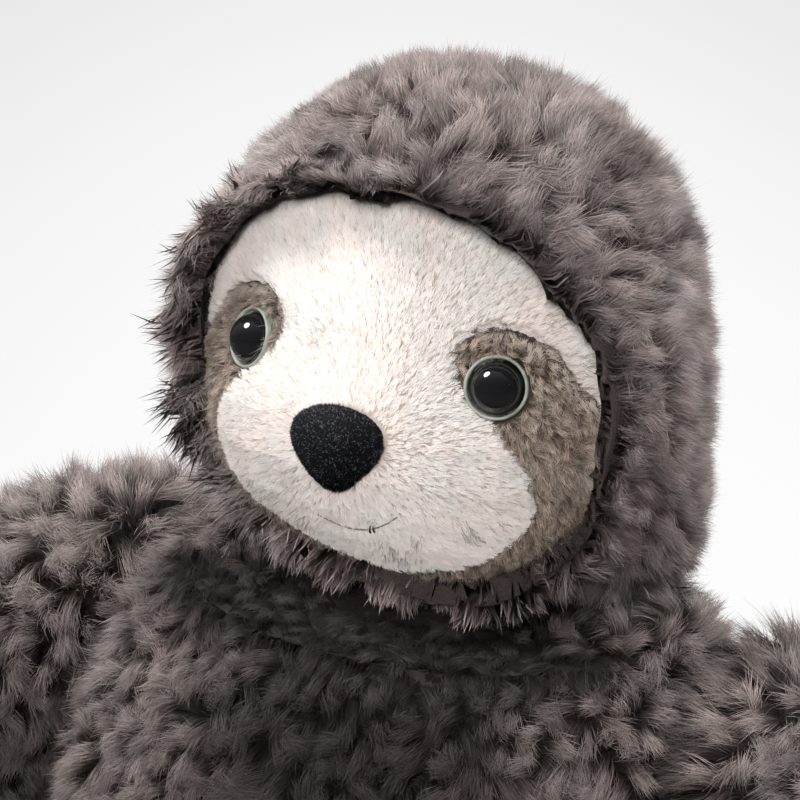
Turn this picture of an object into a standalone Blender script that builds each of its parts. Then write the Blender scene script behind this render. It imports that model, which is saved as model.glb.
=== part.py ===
"""A sitting plush sloth: stuffed head, torso, two arms and two legs, with a face, eyes, nose and claws.

It sits on the floor at z = 0, faces -Y and has its own left side at +X. Lengths are in metres. Each limb has
a fur cover, open at its seam, round one piece of stuffing. The head turns on the neck seam, and each limb
swings on its seam about an axis along X.
"""

import math

import bmesh
import bpy
import numpy as np
from mathutils import Matrix, Vector

SIDES = {"left": 1, "right": -1}

# Sewing: what every piece keeps to.
SEAM_GAP = 0.0003
TURNING_GAP = 0.0007
COVER_THICKNESS = 0.005
FACE_THICKNESS = 0.0025
FLAT_DEPTH = 0.0005
CUT_OVERRUN = 0.08
WELD_DISTANCE = 0.00001

# Head: the hood is a deep ball of fur whose nape goes down nearly straight to the shoulders. Its centre is
# the head's centre.
HEAD_HEIGHT = 0.236
HEAD_FORWARD = -0.006
HOOD_HALF_WIDTH = 0.070
HOOD_FRONT = 0.050
HOOD_BACK = 0.061
HOOD_HALF_HEIGHT = 0.067
NECK_DROP = 0.061
HOOD_FRONT_SHARES = (1.22, 1.2, 1.1, 1.0, 1.0)
NECK_RADIUS = 0.024
NAPE_SQUARENESS = 8.0
NAPE_BLEND_SHARE = 0.5

# Face: a flatter ball inside the hood, with a wide muzzle.
FACE_HALF_WIDTH = 0.076
FACE_HALF_DEPTH = 0.056
FACE_HALF_HEIGHT = 0.074
FACE_BACK = 0.022
FACE_DROP = 0.006
MUZZLE_RISE = 0.0135
MUZZLE_HALF_WIDTH = 0.056
MUZZLE_HALF_HEIGHT = 0.023
MUZZLE_DROP = 0.030
CHEEK_SQUARENESS = 6.0
MUZZLE_SQUARENESS = 2.5

# Opening of the hood, seen from the front, about its own middle.
OPENING_HALF_WIDTH = 0.059
OPENING_HALF_HEIGHT = 0.049
OPENING_DROP = 0.008
OPENING_DEPTH = 0.012
OPENING_SQUARENESS = 2.1

# Eye patches: a teardrop round each eye that sweeps out and down along the muzzle to the chin, as seen from
# the front. The places are shares of the opening's half sizes, from its middle.
PATCH_SHARES = (
    (0.41, 0.25),
    (0.45, 0.12),
    (0.54, 0.03),
    (0.70, -0.16),
    (0.765, -0.37),
    (0.735, -0.53),
    (0.62, -0.685),
    (0.39, -0.865),
    (0.10, -0.985),
    (0.20, -1.22),
    (0.75, -1.05),
    (1.16, -0.45),
    (1.10, -0.10),
    (0.90, 0.10),
    (0.78, 0.31),
    (0.58, 0.415),
    (0.45, 0.36),
)

# Eyes: a glossy dome on a stem, in a pale rim, held by a washer inside the head.
EYE_SPREAD = 0.0350
EYE_DROP = 0.001
EYE_RADIUS = 0.0065
EYE_RISE = 0.0046
EYE_SINK = 0.0020
RIM_WIDTH = 0.0011
RIM_RISE = 0.0009
STEM_RADIUS = 0.0022
STEM_LENGTH = 0.0160
WASHER_RADIUS = 0.0080
WASHER_THICKNESS = 0.0018
WASHER_DEPTH = 0.0100

# Nose: a flocked rounded triangle on a stem, with a washer of the same kind.
NOSE_HALF_WIDTH = 0.0132
NOSE_HALF_HEIGHT = 0.0103
NOSE_HALF_DEPTH = 0.0080
NOSE_DROP = 0.0188
NOSE_PROUD = 0.0062
NOSE_WIDTH_SHARES = (0.60, 0.72, 0.92, 1.08, 1.16)

# Mouth: one thin thread laid into the pile.
MOUTH_DROP = 0.0402
MOUTH_HALF_WIDTH = 0.0150
MOUTH_LIFT = 0.0066
THREAD_RADIUS = 0.0005
THREAD_SINK = 0.0002

# Torso: a chubby pear with a flat seat.
TORSO_HALF_WIDTH = 0.104
TORSO_FRONT = 0.078
TORSO_BACK = 0.070
TORSO_HALF_HEIGHT = 0.102
TORSO_RISE_SHARES = (-1.0, -0.985, -0.78, -0.52, -0.25, 0.0, 0.25, 0.5, 0.75, 1.0)
TORSO_WIDTH_SHARES = (1.0, 0.98, 0.99, 1.0, 1.0, 1.0, 1.0, 0.985, 0.99, 1.0)
TORSO_FRONT_SHARES = (0.9, 0.92, 0.97, 1.02, 1.03, 1.0, 0.98, 0.96, 0.95, 0.95)
TORSO_BACK_SHARES = (1.05, 1.05, 1.03, 1.0, 1.0, 1.02, 1.06, 1.12, 1.2, 1.25)

# Arms: each starts at a round shoulder seam, goes out and down, and rests its paw on the floor.
SHOULDER_BACK = 0.012
SHOULDER_HEIGHT = 0.144
SHOULDER_SPREAD = 0.077
SHOULDER_RADIUS = 0.025
ARMHOLE_RADIUS = 0.046
ARM_CLEAR_SPREAD = 0.105
ARM_REACH = 0.220
ARM_OUT_SHARES = (0.30, 0.42, 0.56, 0.675, 0.74, 0.745, 0.72, 0.70)
ARM_FORWARD_SHARES = (-0.08, -0.06, -0.04, 0.02, 0.12, 0.25, 0.40, 0.56)
ARM_HEIGHT_SHARES = (0.985, 0.965, 0.88, 0.72, 0.50, 0.30, 0.20, 0.195)
ARM_RADIUS = 0.036
ARM_RADIUS_SHARES = (0.80, 0.98, 1.05, 1.02, 0.94, 0.86, 0.80, 0.76)
ARM_LIFT = {"left": -0.001, "right": 0.003}

# Legs: each starts at a round hip seam under the belly and reaches forward.
HIP_SPREAD = 0.056
HIP_FORWARD = 0.036
HIP_HEIGHT = 0.035
HIP_RADIUS = 0.033
HIP_SEAM_SPREAD = 0.031
LEG_REACH = 0.125
LEG_SPLAY = 0.022
LEG_OUT_SHARES = (0.0, 0.0, 0.28, 0.58, 0.85, 1.0)
LEG_FORWARD_SHARES = (-0.264, 0.0, 0.25, 0.52, 0.80, 1.0)
LEG_RADIUS_SHARES = (1.0, 1.0, 0.95, 0.91, 0.93, 0.93)
TOE_LIFT = 0.009
LEG_LIFT_SHARES = (0.0, 0.0, 0.0, 0.0, 0.15, 1.0)

# Claws: three curved horns on each paw and foot.
CLAW_LENGTH = 0.026
CLAW_RADIUS = 0.0048
CLAW_DIP = 0.010
CLAW_PITCH = 0.0145
CLAW_ROOT_SHARE = 0.42
CLAW_RADIUS_SHARES = (1.0, 1.0, 0.93, 0.78, 0.54, 0.20)

# Shares of a whole that set how finely a form is faceted, and where a round end stops.
TIP_SHARE = 0.18
END_CROWDING_SHARE = 0.8
ARM_STATIONS = 15
LEG_STATIONS = 11
COVER_SIDES = 16
LINING_SIDES = 12
CLAW_SIDES = 8
THREAD_SIDES = 6
THREAD_STATIONS = 15
TURN_STEPS = 24
SMALL_TURN_STEPS = 16
SOCKET_STATIONS = 8
PULL_ROUNDS = 6
OUTLINE_POINTS = 40
EDGE_DEGREES = 40

FUR = (0.205, 0.168, 0.162)
CREAM = (0.807, 0.723, 0.644)
BROWN = (0.262, 0.198, 0.153)
HORN = (0.640, 0.555, 0.470)
BLACK = (0.010, 0.010, 0.011)
RIM_GREY = (0.515, 0.552, 0.491)
FIBRE = (0.850, 0.850, 0.830)
PLASTIC = (0.700, 0.700, 0.680)
THREAD = (0.060, 0.050, 0.045)


def start_scene():
    """Clears the scene and makes the collections for the pieces and for the shapes that cut them."""
    for old in list(bpy.data.objects):
        bpy.data.objects.remove(old, do_unlink=True)
    made = {}
    for name in ("plush_sloth", "cutters"):
        made[name] = bpy.data.collections.new(name)
        bpy.context.scene.collection.children.link(made[name])
    made["cutters"].hide_render = True
    return made["plush_sloth"], made["cutters"]


pieces, cutters = start_scene()


def material(name, colour, roughness):
    made = bpy.data.materials.new(name)
    made.use_nodes = True
    shader = made.node_tree.nodes["Principled BSDF"]
    shader.inputs["Base Color"].default_value = (*colour, 1.0)
    shader.inputs["Roughness"].default_value = roughness
    shader.inputs["Metallic"].default_value = 0.0
    return made


def eased(shares, at):
    """Values at places from 0 to 1 on a smooth curve through evenly spaced shares."""
    shares = np.asarray(shares, float)
    place = np.clip(at, 0.0, 1.0) * (len(shares) - 1)
    low = np.minimum(place.astype(int), len(shares) - 2)
    part = place - low
    ends = np.concatenate([[2 * shares[0] - shares[1]], shares, [2 * shares[-1] - shares[-2]]])
    before, here, there, after = (ends[low + step] for step in range(4))
    slope = there - before
    bend = 2 * before - 5 * here + 4 * there - after
    twist = 3 * here - 3 * there + after - before
    return here + 0.5 * part * (slope + part * (bend + part * twist))


def new_object(name, mesh, cutter=False):
    made = bpy.data.objects.new(name, mesh)
    (cutters if cutter else pieces).objects.link(made)
    if cutter:
        made.hide_render = True
        made.display_type = "WIRE"
    return made


def finish_piece(piece, colour, roughness=0.9):
    """Gives a piece its own material and smooth shading that keeps its edges."""
    piece.data.materials.clear()
    piece.data.materials.append(material(piece.name, colour, roughness))
    piece.data.shade_smooth()
    piece.data.set_sharp_from_angle(angle=math.radians(EDGE_DEGREES))
    return piece


def combine(piece, other, operation="DIFFERENCE"):
    boolean = piece.modifiers.new(f"{operation.lower()} {other.name}"[:60], "BOOLEAN")
    boolean.operation = operation
    boolean.solver = "EXACT"
    boolean.object = other


def points_of(mesh):
    found = np.empty(len(mesh.vertices) * 3)
    mesh.vertices.foreach_get("co", found)
    return found.reshape(-1, 3)


def put_points(mesh, points):
    mesh.vertices.foreach_set("co", points.ravel())
    mesh.update()


def draw_in(mesh, depth):
    """Moves each point of a closed mesh inwards along its normal, or outwards if depth is negative."""
    if depth:
        normals = np.array([vertex.normal for vertex in mesh.vertices])
        put_points(mesh, points_of(mesh) - normals * depth)
    return mesh


def unit_ball(name, segments, rings):
    mesh = bpy.data.meshes.new(name)
    shape = bmesh.new()
    bmesh.ops.create_uvsphere(shape, u_segments=segments, v_segments=rings, radius=1)
    bmesh.ops.triangulate(shape, faces=shape.faces, quad_method="FIXED")
    shape.to_mesh(mesh)
    shape.free()
    return mesh


def shaped_ball(name, centre, half_width, front, back, half_height, segments, rings, **shares):
    """A ball with its own half size each way, swollen or narrowed by tables of shares from its bottom up."""
    mesh = unit_ball(name, segments, rings)
    points = points_of(mesh)
    height = (points[:, 2] + 1) / 2
    facing = points[:, 1] < 0
    wide = eased(shares.get("width_shares", (1, 1)), height)
    deep = np.where(
        facing,
        front * eased(shares.get("front_shares", (1, 1)), height),
        back * eased(shares.get("back_shares", (1, 1)), height),
    )
    rise = eased(shares.get("rise_shares", (-1, 1)), height)
    points = np.stack([points[:, 0] * wide * half_width, points[:, 1] * deep, rise * half_height], 1)
    put_points(mesh, points + np.asarray(centre))
    return mesh


def turned(name, profile, place, axis, steps=TURN_STEPS, cutter=False, loop=False):
    """A turned solid. The profile is (radius, distance along the axis) from its top down its outer side.

    A ring's profile is a closed loop that stays clear of the axis."""
    count = len(profile)
    edges = [(i, (i + 1) % count) for i in range(count if loop else count - 1)]
    mesh = bpy.data.meshes.new(name)
    mesh.from_pydata([(radius, 0.0, along) for radius, along in profile], edges, [])
    made = new_object(name, mesh, cutter)
    made.location = place
    made.rotation_euler = Vector(axis).to_track_quat("Z", "Y").to_euler()
    screw = made.modifiers.new("turn", "SCREW")
    screw.steps = steps
    screw.render_steps = steps
    screw.use_merge_vertices = True
    screw.merge_threshold = WELD_DISTANCE
    return made


def box(name, low, high):
    """A cutter between two corners."""
    mesh = bpy.data.meshes.new(name)
    shape = bmesh.new()
    bmesh.ops.create_cube(shape, size=1)
    shape.to_mesh(mesh)
    shape.free()
    low, high = np.asarray(low, float), np.asarray(high, float)
    put_points(mesh, points_of(mesh) * (high - low) + (high + low) / 2)
    return new_object(name, mesh, cutter=True)


def mesh_from_curve(name, curve):
    """The welded mesh of a curve object, which is removed."""
    bpy.context.view_layer.update()
    graph = bpy.context.evaluated_depsgraph_get()
    mesh = bpy.data.meshes.new_from_object(curve.evaluated_get(graph))
    mesh.name = name
    mesh.transform(curve.matrix_world)
    bpy.data.objects.remove(curve, do_unlink=True)
    shape = bmesh.new()
    shape.from_mesh(mesh)
    bmesh.ops.remove_doubles(shape, verts=shape.verts, dist=WELD_DISTANCE)
    bmesh.ops.recalc_face_normals(shape, faces=shape.faces)
    bmesh.ops.triangulate(shape, faces=shape.faces, quad_method="FIXED")
    shape.to_mesh(mesh)
    shape.free()
    return mesh


def tube(name, points, radii, sides):
    """A closed tube through points, with its own radius at each and an even number of sides."""
    data = bpy.data.curves.new(name, "CURVE")
    data.dimensions = "3D"
    data.bevel_depth = 1.0
    data.bevel_resolution = (sides - 4) // 2
    data.use_fill_caps = True
    spline = data.splines.new("POLY")
    spline.points.add(len(points) - 1)
    for point, place, radius in zip(spline.points, points, radii):
        point.co = (*place, 1.0)
        point.radius = radius
    return mesh_from_curve(name, new_object(name, data))


def slab(name, outline, front, back):
    """A cutter with the given outline as seen from the front, between two depths."""
    data = bpy.data.curves.new(name, "CURVE")
    data.dimensions = "2D"
    data.fill_mode = "BOTH"
    data.extrude = (back - front) / 2
    spline = data.splines.new("POLY")
    spline.use_cyclic_u = True
    spline.points.add(len(outline) - 1)
    for point, (across, up) in zip(spline.points, outline):
        point.co = (across, up, 0.0, 1.0)
    curve = new_object(name, data)
    curve.matrix_world = Matrix.Translation((0, (front + back) / 2, 0)) @ Matrix.Rotation(math.pi / 2, 4, "X")
    return new_object(name, mesh_from_curve(name, curve), cutter=True)


def axis_at(name, place):
    """An empty on a joint's axis, which carries the pieces that move with it."""
    made = bpy.data.objects.new(name, None)
    made.location = place
    made.empty_display_size = SHOULDER_RADIUS
    pieces.objects.link(made)
    return made


def carry(axis, carried):
    bpy.context.view_layer.update()
    for piece in carried:
        piece.parent = axis
        piece.matrix_parent_inverse = axis.matrix_world.inverted()


def rounded_tube(name, points, radii, inset, sides):
    """A limb through points: a swelling tube with round ends, drawn in by a depth."""
    steps = np.linalg.norm(np.diff(points, axis=0), axis=1)
    along = np.concatenate([[0.0], np.cumsum(steps)])
    to_end = np.minimum(along, along[-1] - along)
    share = np.clip(to_end / radii, 0.0, 1.0)
    radii = radii * np.maximum(np.sqrt(1 - (1 - share) ** 2), TIP_SHARE)
    return draw_in(tube(name, points, radii, sides), inset)


def stations(count):
    """Places from 0 to 1 that lie closer together near both ends."""
    even = np.linspace(0.0, 1.0, count)
    crowded = (1 - np.cos(math.pi * even)) / 2
    return END_CROWDING_SHARE * crowded + (1 - END_CROWDING_SHARE) * even


def round_room(steps):
    """How much larger a turned space is made, so that its flats stay clear of what turns in it."""
    return 1 / math.cos(math.pi / steps)


# Head forms. The face form holds the face and muzzle, and the core form is what both covers wrap.
head = np.array([0.0, -HEAD_FORWARD, HEAD_HEIGHT])
face_middle = head + (0.0, FACE_BACK, -FACE_DROP)
opening_middle = head - (0.0, 0.0, OPENING_DROP)


def muzzle_rise(across, up):
    """How far the muzzle stands out of the face at places measured from the head's centre."""
    wide = np.exp(-(np.abs(across / MUZZLE_HALF_WIDTH) ** CHEEK_SQUARENESS))
    tall = np.exp(-(np.abs((up + MUZZLE_DROP) / MUZZLE_HALF_HEIGHT) ** MUZZLE_SQUARENESS))
    return MUZZLE_RISE * wide * tall


def face_front(across, up):
    """The depth of the face's surface, straight in front of a place measured from the head's centre."""
    left = 1 - (across / FACE_HALF_WIDTH) ** 2 - ((up + FACE_DROP) / FACE_HALF_HEIGHT) ** 2
    return head[1] + FACE_BACK - FACE_HALF_DEPTH * np.sqrt(left) - muzzle_rise(across, up)


def face_outward(across, up):
    """The direction that the face looks in at such a place."""
    step = EYE_RADIUS
    slope_across = (face_front(across + step, up) - face_front(across - step, up)) / (2 * step)
    slope_up = (face_front(across, up + step) - face_front(across, up - step)) / (2 * step)
    return Vector((slope_across, -1.0, slope_up)).normalized()


def face_form(name, inset, segments=34, rings=24):
    mesh = shaped_ball(
        name, (0, 0, 0), FACE_HALF_WIDTH, FACE_HALF_DEPTH, FACE_HALF_DEPTH, FACE_HALF_HEIGHT, segments, rings
    )
    points = points_of(mesh)
    rise = muzzle_rise(points[:, 0], points[:, 2] - FACE_DROP)
    points[:, 1] -= np.where(points[:, 1] < 0, rise, 0.0)
    put_points(mesh, points + face_middle)
    return draw_in(mesh, inset)


def nape_fill(height, turned_back):
    """How much wider the hood is than a ball at a height from -1 to 1, mostly where it is turned to the back."""
    share = np.clip((turned_back / NAPE_BLEND_SHARE + 1) / 2, 0.0, 1.0)
    squareness = 2 + (NAPE_SQUARENESS - 2) * share * share * (3 - 2 * share)
    down = np.clip(-height, 0.0, 1 - SEAM_GAP / HOOD_HALF_HEIGHT)
    return (1 - down**squareness) ** (1 / squareness) / np.sqrt(1 - down**2)


def way_back(points):
    """How far places round the head's axis are turned to its back, from -1 to 1."""
    return points[:, 1] / np.maximum(np.linalg.norm(points[:, :2], axis=1), WELD_DISTANCE)


def hood_form(name, inset, segments=30, rings=20):
    mesh = shaped_ball(
        name,
        head,
        HOOD_HALF_WIDTH,
        HOOD_FRONT,
        HOOD_BACK,
        HOOD_HALF_HEIGHT,
        segments,
        rings,
        front_shares=HOOD_FRONT_SHARES,
    )
    points = points_of(mesh) - head
    points[:, :2] *= nape_fill(points[:, 2] / HOOD_HALF_HEIGHT, way_back(points))[:, None]
    put_points(mesh, points + head)
    return draw_in(mesh, inset)


def core_form(name, gap):
    """The face form inside its cover, pulled in where it would stand out of the hood's lining."""
    mesh = face_form(name, FACE_THICKNESS, segments=26, rings=18)
    points = points_of(mesh) - head
    for _ in range(PULL_ROUNDS):
        height = np.clip(points[:, 2] / (HOOD_HALF_HEIGHT - COVER_THICKNESS), -1, 1)
        fill = nape_fill(height, way_back(points))
        deep = np.where(points[:, 1] < 0, HOOD_FRONT * eased(HOOD_FRONT_SHARES, height / 2 + 0.5), HOOD_BACK)
        reach = np.stack([np.full_like(deep, HOOD_HALF_WIDTH), deep, np.full_like(deep, HOOD_HALF_HEIGHT)], 1)
        reach -= COVER_THICKNESS
        reach[:, :2] *= fill[:, None]
        outside = np.maximum(np.linalg.norm(points / reach, axis=1), 1.0)
        points /= outside[:, None]
    put_points(mesh, points + head)
    return draw_in(mesh, gap)


def opening_outline(grow):
    """The hood's opening, an egg shape as seen from the front."""
    turn = np.linspace(0.0, 2 * math.pi, OUTLINE_POINTS, endpoint=False)
    across, up = np.cos(turn), np.sin(turn)
    round_off = (np.abs(across) ** OPENING_SQUARENESS + np.abs(up) ** OPENING_SQUARENESS) ** (
        -1 / OPENING_SQUARENESS
    )
    across = across * round_off * (OPENING_HALF_WIDTH + grow)
    up = up * round_off * (OPENING_HALF_HEIGHT + grow)
    return np.stack([across, up + opening_middle[2]], 1)


def patch_outline(side, grow):
    """The outline of an eye patch as seen from the front, moved outwards by grow."""
    corners = np.array(PATCH_SHARES) * (OPENING_HALF_WIDTH, OPENING_HALF_HEIGHT)
    count = len(corners)
    wrapped = np.concatenate([corners[-3:], corners, corners[:3]])
    at = (np.arange(2 * count) / 2 + 3) / (len(wrapped) - 1)
    outline = np.stack([eased(wrapped[:, 0], at), eased(wrapped[:, 1], at)], 1)
    run = np.roll(outline, -1, 0) - np.roll(outline, 1, 0)
    outward = np.stack([-run[:, 1], run[:, 0]], 1) / np.linalg.norm(run, axis=1)[:, None]
    area = np.sum(outline[:, 0] * np.roll(outline[:, 1], -1) - outline[:, 1] * np.roll(outline[:, 0], -1))
    outline = outline - math.copysign(1.0, area) * outward * grow
    return outline * (side, 1.0) + (0.0, opening_middle[2])


def place_on_face(across, up):
    """A point on the face's surface, from a place measured from the head's centre."""
    return Vector((across, float(face_front(across, up)), head[2] + up))


def fixing_space(name, place, outward, start):
    """The hole that a stem and its washer need in the stuffing, with their gap, as a cutter."""
    near, far = -WASHER_DEPTH + SEAM_GAP, -WASHER_DEPTH - WASHER_THICKNESS - SEAM_GAP
    profile = [
        (0.0, start),
        (STEM_RADIUS + SEAM_GAP, start),
        (STEM_RADIUS + SEAM_GAP, near),
        (WASHER_RADIUS + SEAM_GAP, near),
        (WASHER_RADIUS + SEAM_GAP, far),
        (STEM_RADIUS + SEAM_GAP, far),
        (STEM_RADIUS + SEAM_GAP, -STEM_LENGTH - SEAM_GAP),
        (0.0, -STEM_LENGTH - SEAM_GAP),
    ]
    return turned(name, profile, place, outward, SMALL_TURN_STEPS, cutter=True)


def washer(name, place, outward):
    inner = STEM_RADIUS + SEAM_GAP
    near, far = -WASHER_DEPTH, -WASHER_DEPTH - WASHER_THICKNESS
    profile = [(inner, near), (WASHER_RADIUS, near), (WASHER_RADIUS, far), (inner, far)]
    made = turned(name, profile, place, outward, SMALL_TURN_STEPS, loop=True)
    return finish_piece(made, PLASTIC, 0.5)


def eye(side_name, side):
    """A dome on a stem, its rim, its washer, and the spaces that they need."""
    place = place_on_face(side * EYE_SPREAD, -EYE_DROP)
    outward = face_outward(side * EYE_SPREAD, -EYE_DROP)
    base = -EYE_SINK
    turn = np.linspace(0.0, math.pi / 2, 7)
    dome = [(EYE_RADIUS * math.sin(a), base + (EYE_RISE + EYE_SINK) * math.cos(a)) for a in turn]
    dome[0] = (0.0, dome[0][1])
    stem = [(STEM_RADIUS, base), (STEM_RADIUS, -STEM_LENGTH), (0.0, -STEM_LENGTH)]
    ball = turned(f"eye_{side_name}", dome + stem, place, outward, SMALL_TURN_STEPS)
    finish_piece(ball, BLACK, 0.08)
    inner = EYE_RADIUS + SEAM_GAP
    turn = np.linspace(0.0, math.pi, 5)
    crown = [(inner + RIM_WIDTH * (1 - math.cos(a)) / 2, RIM_RISE * math.sin(a)) for a in turn]
    rim_profile = crown + [(inner + RIM_WIDTH, base), (inner, base)]
    rim = turned(f"eye_rim_{side_name}", rim_profile, place, outward, SMALL_TURN_STEPS, loop=True)
    finish_piece(rim, RIM_GREY, 0.3)
    socket_radius = inner + RIM_WIDTH + SEAM_GAP
    socket = turned(
        f"eye_socket_{side_name}",
        [(0.0, EYE_RISE), (socket_radius, EYE_RISE), (socket_radius, -EYE_RISE), (0.0, -EYE_RISE)],
        place,
        outward,
        SMALL_TURN_STEPS,
        cutter=True,
    )
    space = fixing_space(f"eye_fixing_{side_name}", place, outward, 0.0)
    return [ball, rim, washer(f"eye_washer_{side_name}", place, outward)], socket, space


def nose():
    """The nose, seated on the muzzle, with its stem's washer and space."""
    place = place_on_face(0.0, -NOSE_DROP)
    outward = Vector((0, -1, 0))
    middle = place + Vector((0, NOSE_HALF_DEPTH - NOSE_PROUD, 0))
    ball = shaped_ball(
        "nose",
        middle,
        NOSE_HALF_WIDTH,
        NOSE_HALF_DEPTH,
        NOSE_HALF_DEPTH,
        NOSE_HALF_HEIGHT,
        22,
        12,
        width_shares=NOSE_WIDTH_SHARES,
    )
    made = new_object("nose", ball)
    seat = new_object("nose_seat", face_form("nose_seat", -SEAM_GAP), cutter=True)
    combine(made, seat)
    stem = turned(
        "nose_stem",
        [(0.0, NOSE_PROUD / 2), (STEM_RADIUS, NOSE_PROUD / 2), (STEM_RADIUS, -STEM_LENGTH), (0.0, -STEM_LENGTH)],
        place,
        outward,
        SMALL_TURN_STEPS,
        cutter=True,
    )
    combine(made, stem, "UNION")
    space = fixing_space("nose_fixing", place, outward, NOSE_PROUD)
    return [finish_piece(made, BLACK, 0.95), washer("nose_washer", place, outward)], space


def mouth():
    """The smile, a thread along the muzzle, and the furrow that it lies in."""
    share = np.linspace(-1.0, 1.0, THREAD_STATIONS)
    across = share * MOUTH_HALF_WIDTH
    up = -MOUTH_DROP + MOUTH_LIFT * share**2
    deep = face_front(across, up) + THREAD_SINK
    path = np.stack([across, deep, head[2] + up], 1)
    thread = tube("mouth_stitch", path, np.full(len(path), THREAD_RADIUS), THREAD_SIDES)
    end_run = (path[-1] - path[-2]) * 0.5
    long_path = np.concatenate([[path[0] - end_run * (1, -1, -1)], path[1:-1], [path[-1] + end_run]])
    furrow = tube("mouth_furrow", long_path, np.full(len(path), 2 * THREAD_RADIUS), THREAD_SIDES)
    return finish_piece(new_object("mouth_stitch", thread), THREAD), new_object(
        "mouth_furrow", furrow, cutter=True
    )


def build_head():
    """Hood, face, eye patches, eyes, nose, mouth and stuffing, on the neck's axis."""
    front, back = head[1] - CUT_OVERRUN, head[1] + OPENING_DEPTH
    core = new_object("head_core", core_form("head_core", 0.0), cutter=True)
    opening = slab("hood_opening", opening_outline(0.0), front, back)
    face_limit = slab("face_limit", opening_outline(-SEAM_GAP), front, back)
    below = box(
        "below_neck",
        (-CUT_OVERRUN, head[1] - CUT_OVERRUN, 0.0),
        (CUT_OVERRUN, head[1] + CUT_OVERRUN, head[2] - NECK_DROP + SEAM_GAP),
    )
    hood = new_object("head_hood", hood_form("head_hood", 0.0))
    combine(hood, core)
    combine(hood, opening)
    combine(hood, below)
    made = [finish_piece(hood, FUR)]

    stuffing = new_object("head_stuffing", core_form("head_stuffing", SEAM_GAP))
    combine(stuffing, below)
    made.append(finish_piece(stuffing, FIBRE))

    face = new_object("face_panel", face_form("face_panel", 0.0))
    combine(face, face_limit, "INTERSECT")
    combine(face, core)
    nose_pieces, nose_space = nose()
    smile, furrow = mouth()
    combine(face, nose_space)
    combine(face, furrow)
    combine(stuffing, nose_space)
    for side_name, side in SIDES.items():
        patch_slab = slab(f"patch_limit_{side_name}", patch_outline(side, 0.0), front, back)
        patch_hole = slab(f"patch_hole_{side_name}", patch_outline(side, SEAM_GAP), front, back)
        eye_pieces, socket, eye_space = eye(side_name, side)
        patch = new_object(f"eye_patch_{side_name}", face_form(f"eye_patch_{side_name}", 0.0))
        combine(patch, socket)
        combine(patch, face_limit, "INTERSECT")
        combine(patch, patch_slab, "INTERSECT")
        combine(patch, core)
        combine(face, patch_hole)
        combine(face, socket)
        combine(stuffing, eye_space)
        made += [finish_piece(patch, BROWN), *eye_pieces]
    made += [finish_piece(face, CREAM), smile, *nose_pieces]
    carry(axis_at("neck_axis", (0.0, head[1], head[2] - NECK_DROP)), made)


def all_above(name, low):
    """A cutter that takes the torso's top off flat."""
    reach = TORSO_HALF_WIDTH
    return box(name, (-reach, -reach, low), (reach, reach, low + CUT_OVERRUN))


def neck_column(name, radius):
    """The round neck that joins the head's filling to the torso's, through the cloth between them."""
    low = -NECK_DROP - 2 * COVER_THICKNESS
    return turned(name, [(0.0, 0.0), (radius, 0.0), (radius, low), (0.0, low)], head, (0, 0, 1), cutter=True)


def armhole(side_name, side):
    """The shallow cone in the torso's side that the arm's root turns in, with the flat seam at its bottom."""
    end = ARM_CLEAR_SPREAD + CUT_OVERRUN
    profile = [
        (0.0, end),
        (ARMHOLE_RADIUS, end),
        (ARMHOLE_RADIUS, ARM_CLEAR_SPREAD),
        (SHOULDER_RADIUS, SHOULDER_SPREAD),
        (0.0, SHOULDER_SPREAD),
    ]
    place = (0.0, SHOULDER_BACK, SHOULDER_HEIGHT)
    return turned(f"armhole_{side_name}", profile, place, (side, 0, 0), cutter=True)


def arm_limit(side_name, side):
    """All that the arm has to keep out of: the torso's side, with a dent for the arm's root."""
    profile = [
        (0.0, SHOULDER_SPREAD + SEAM_GAP),
        (SHOULDER_RADIUS - TURNING_GAP, SHOULDER_SPREAD + SEAM_GAP),
        (ARMHOLE_RADIUS - TURNING_GAP, ARM_CLEAR_SPREAD + SEAM_GAP),
        (ARM_REACH, ARM_CLEAR_SPREAD + SEAM_GAP),
        (ARM_REACH, 0.0),
        (0.0, 0.0),
    ]
    place = (0.0, SHOULDER_BACK, SHOULDER_HEIGHT)
    return turned(f"arm_limit_{side_name}", profile, place, (side, 0, 0), cutter=True)


def hip_socket(side_name, side):
    """The round socket under the belly, with the flat seam at its inner end."""
    inner = HIP_SEAM_SPREAD - SEAM_GAP
    radius = (HIP_RADIUS + TURNING_GAP) * round_room(TURN_STEPS) * round_room(2 * SOCKET_STATIONS)
    start = math.acos((HIP_SPREAD - inner) / radius)
    turn = np.linspace(0.0, math.pi - start, SOCKET_STATIONS)
    wall = [(radius * math.sin(a), HIP_SPREAD + radius * math.cos(a)) for a in turn]
    wall[0] = (0.0, wall[0][1])
    profile = [*wall, (0.0, inner)]
    place = (0.0, -HIP_FORWARD, HIP_HEIGHT)
    return turned(f"hip_socket_{side_name}", profile, place, (side, 0, 0), cutter=True)


def arm_line(side_name, side):
    """The middle line of an arm, and its radius there."""
    at = stations(ARM_STATIONS)
    radii = ARM_RADIUS * eased(ARM_RADIUS_SHARES, at)
    out = ARM_REACH * eased(ARM_OUT_SHARES, at)
    forward = ARM_REACH * eased(ARM_FORWARD_SHARES, at)
    height = SHOULDER_HEIGHT * eased(ARM_HEIGHT_SHARES, at) + ARM_LIFT[side_name] * (1 - at)
    up = np.maximum(height, radii / round_room(COVER_SIDES) - FLAT_DEPTH)
    return np.stack([side * out, -forward, up], 1), radii


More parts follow.
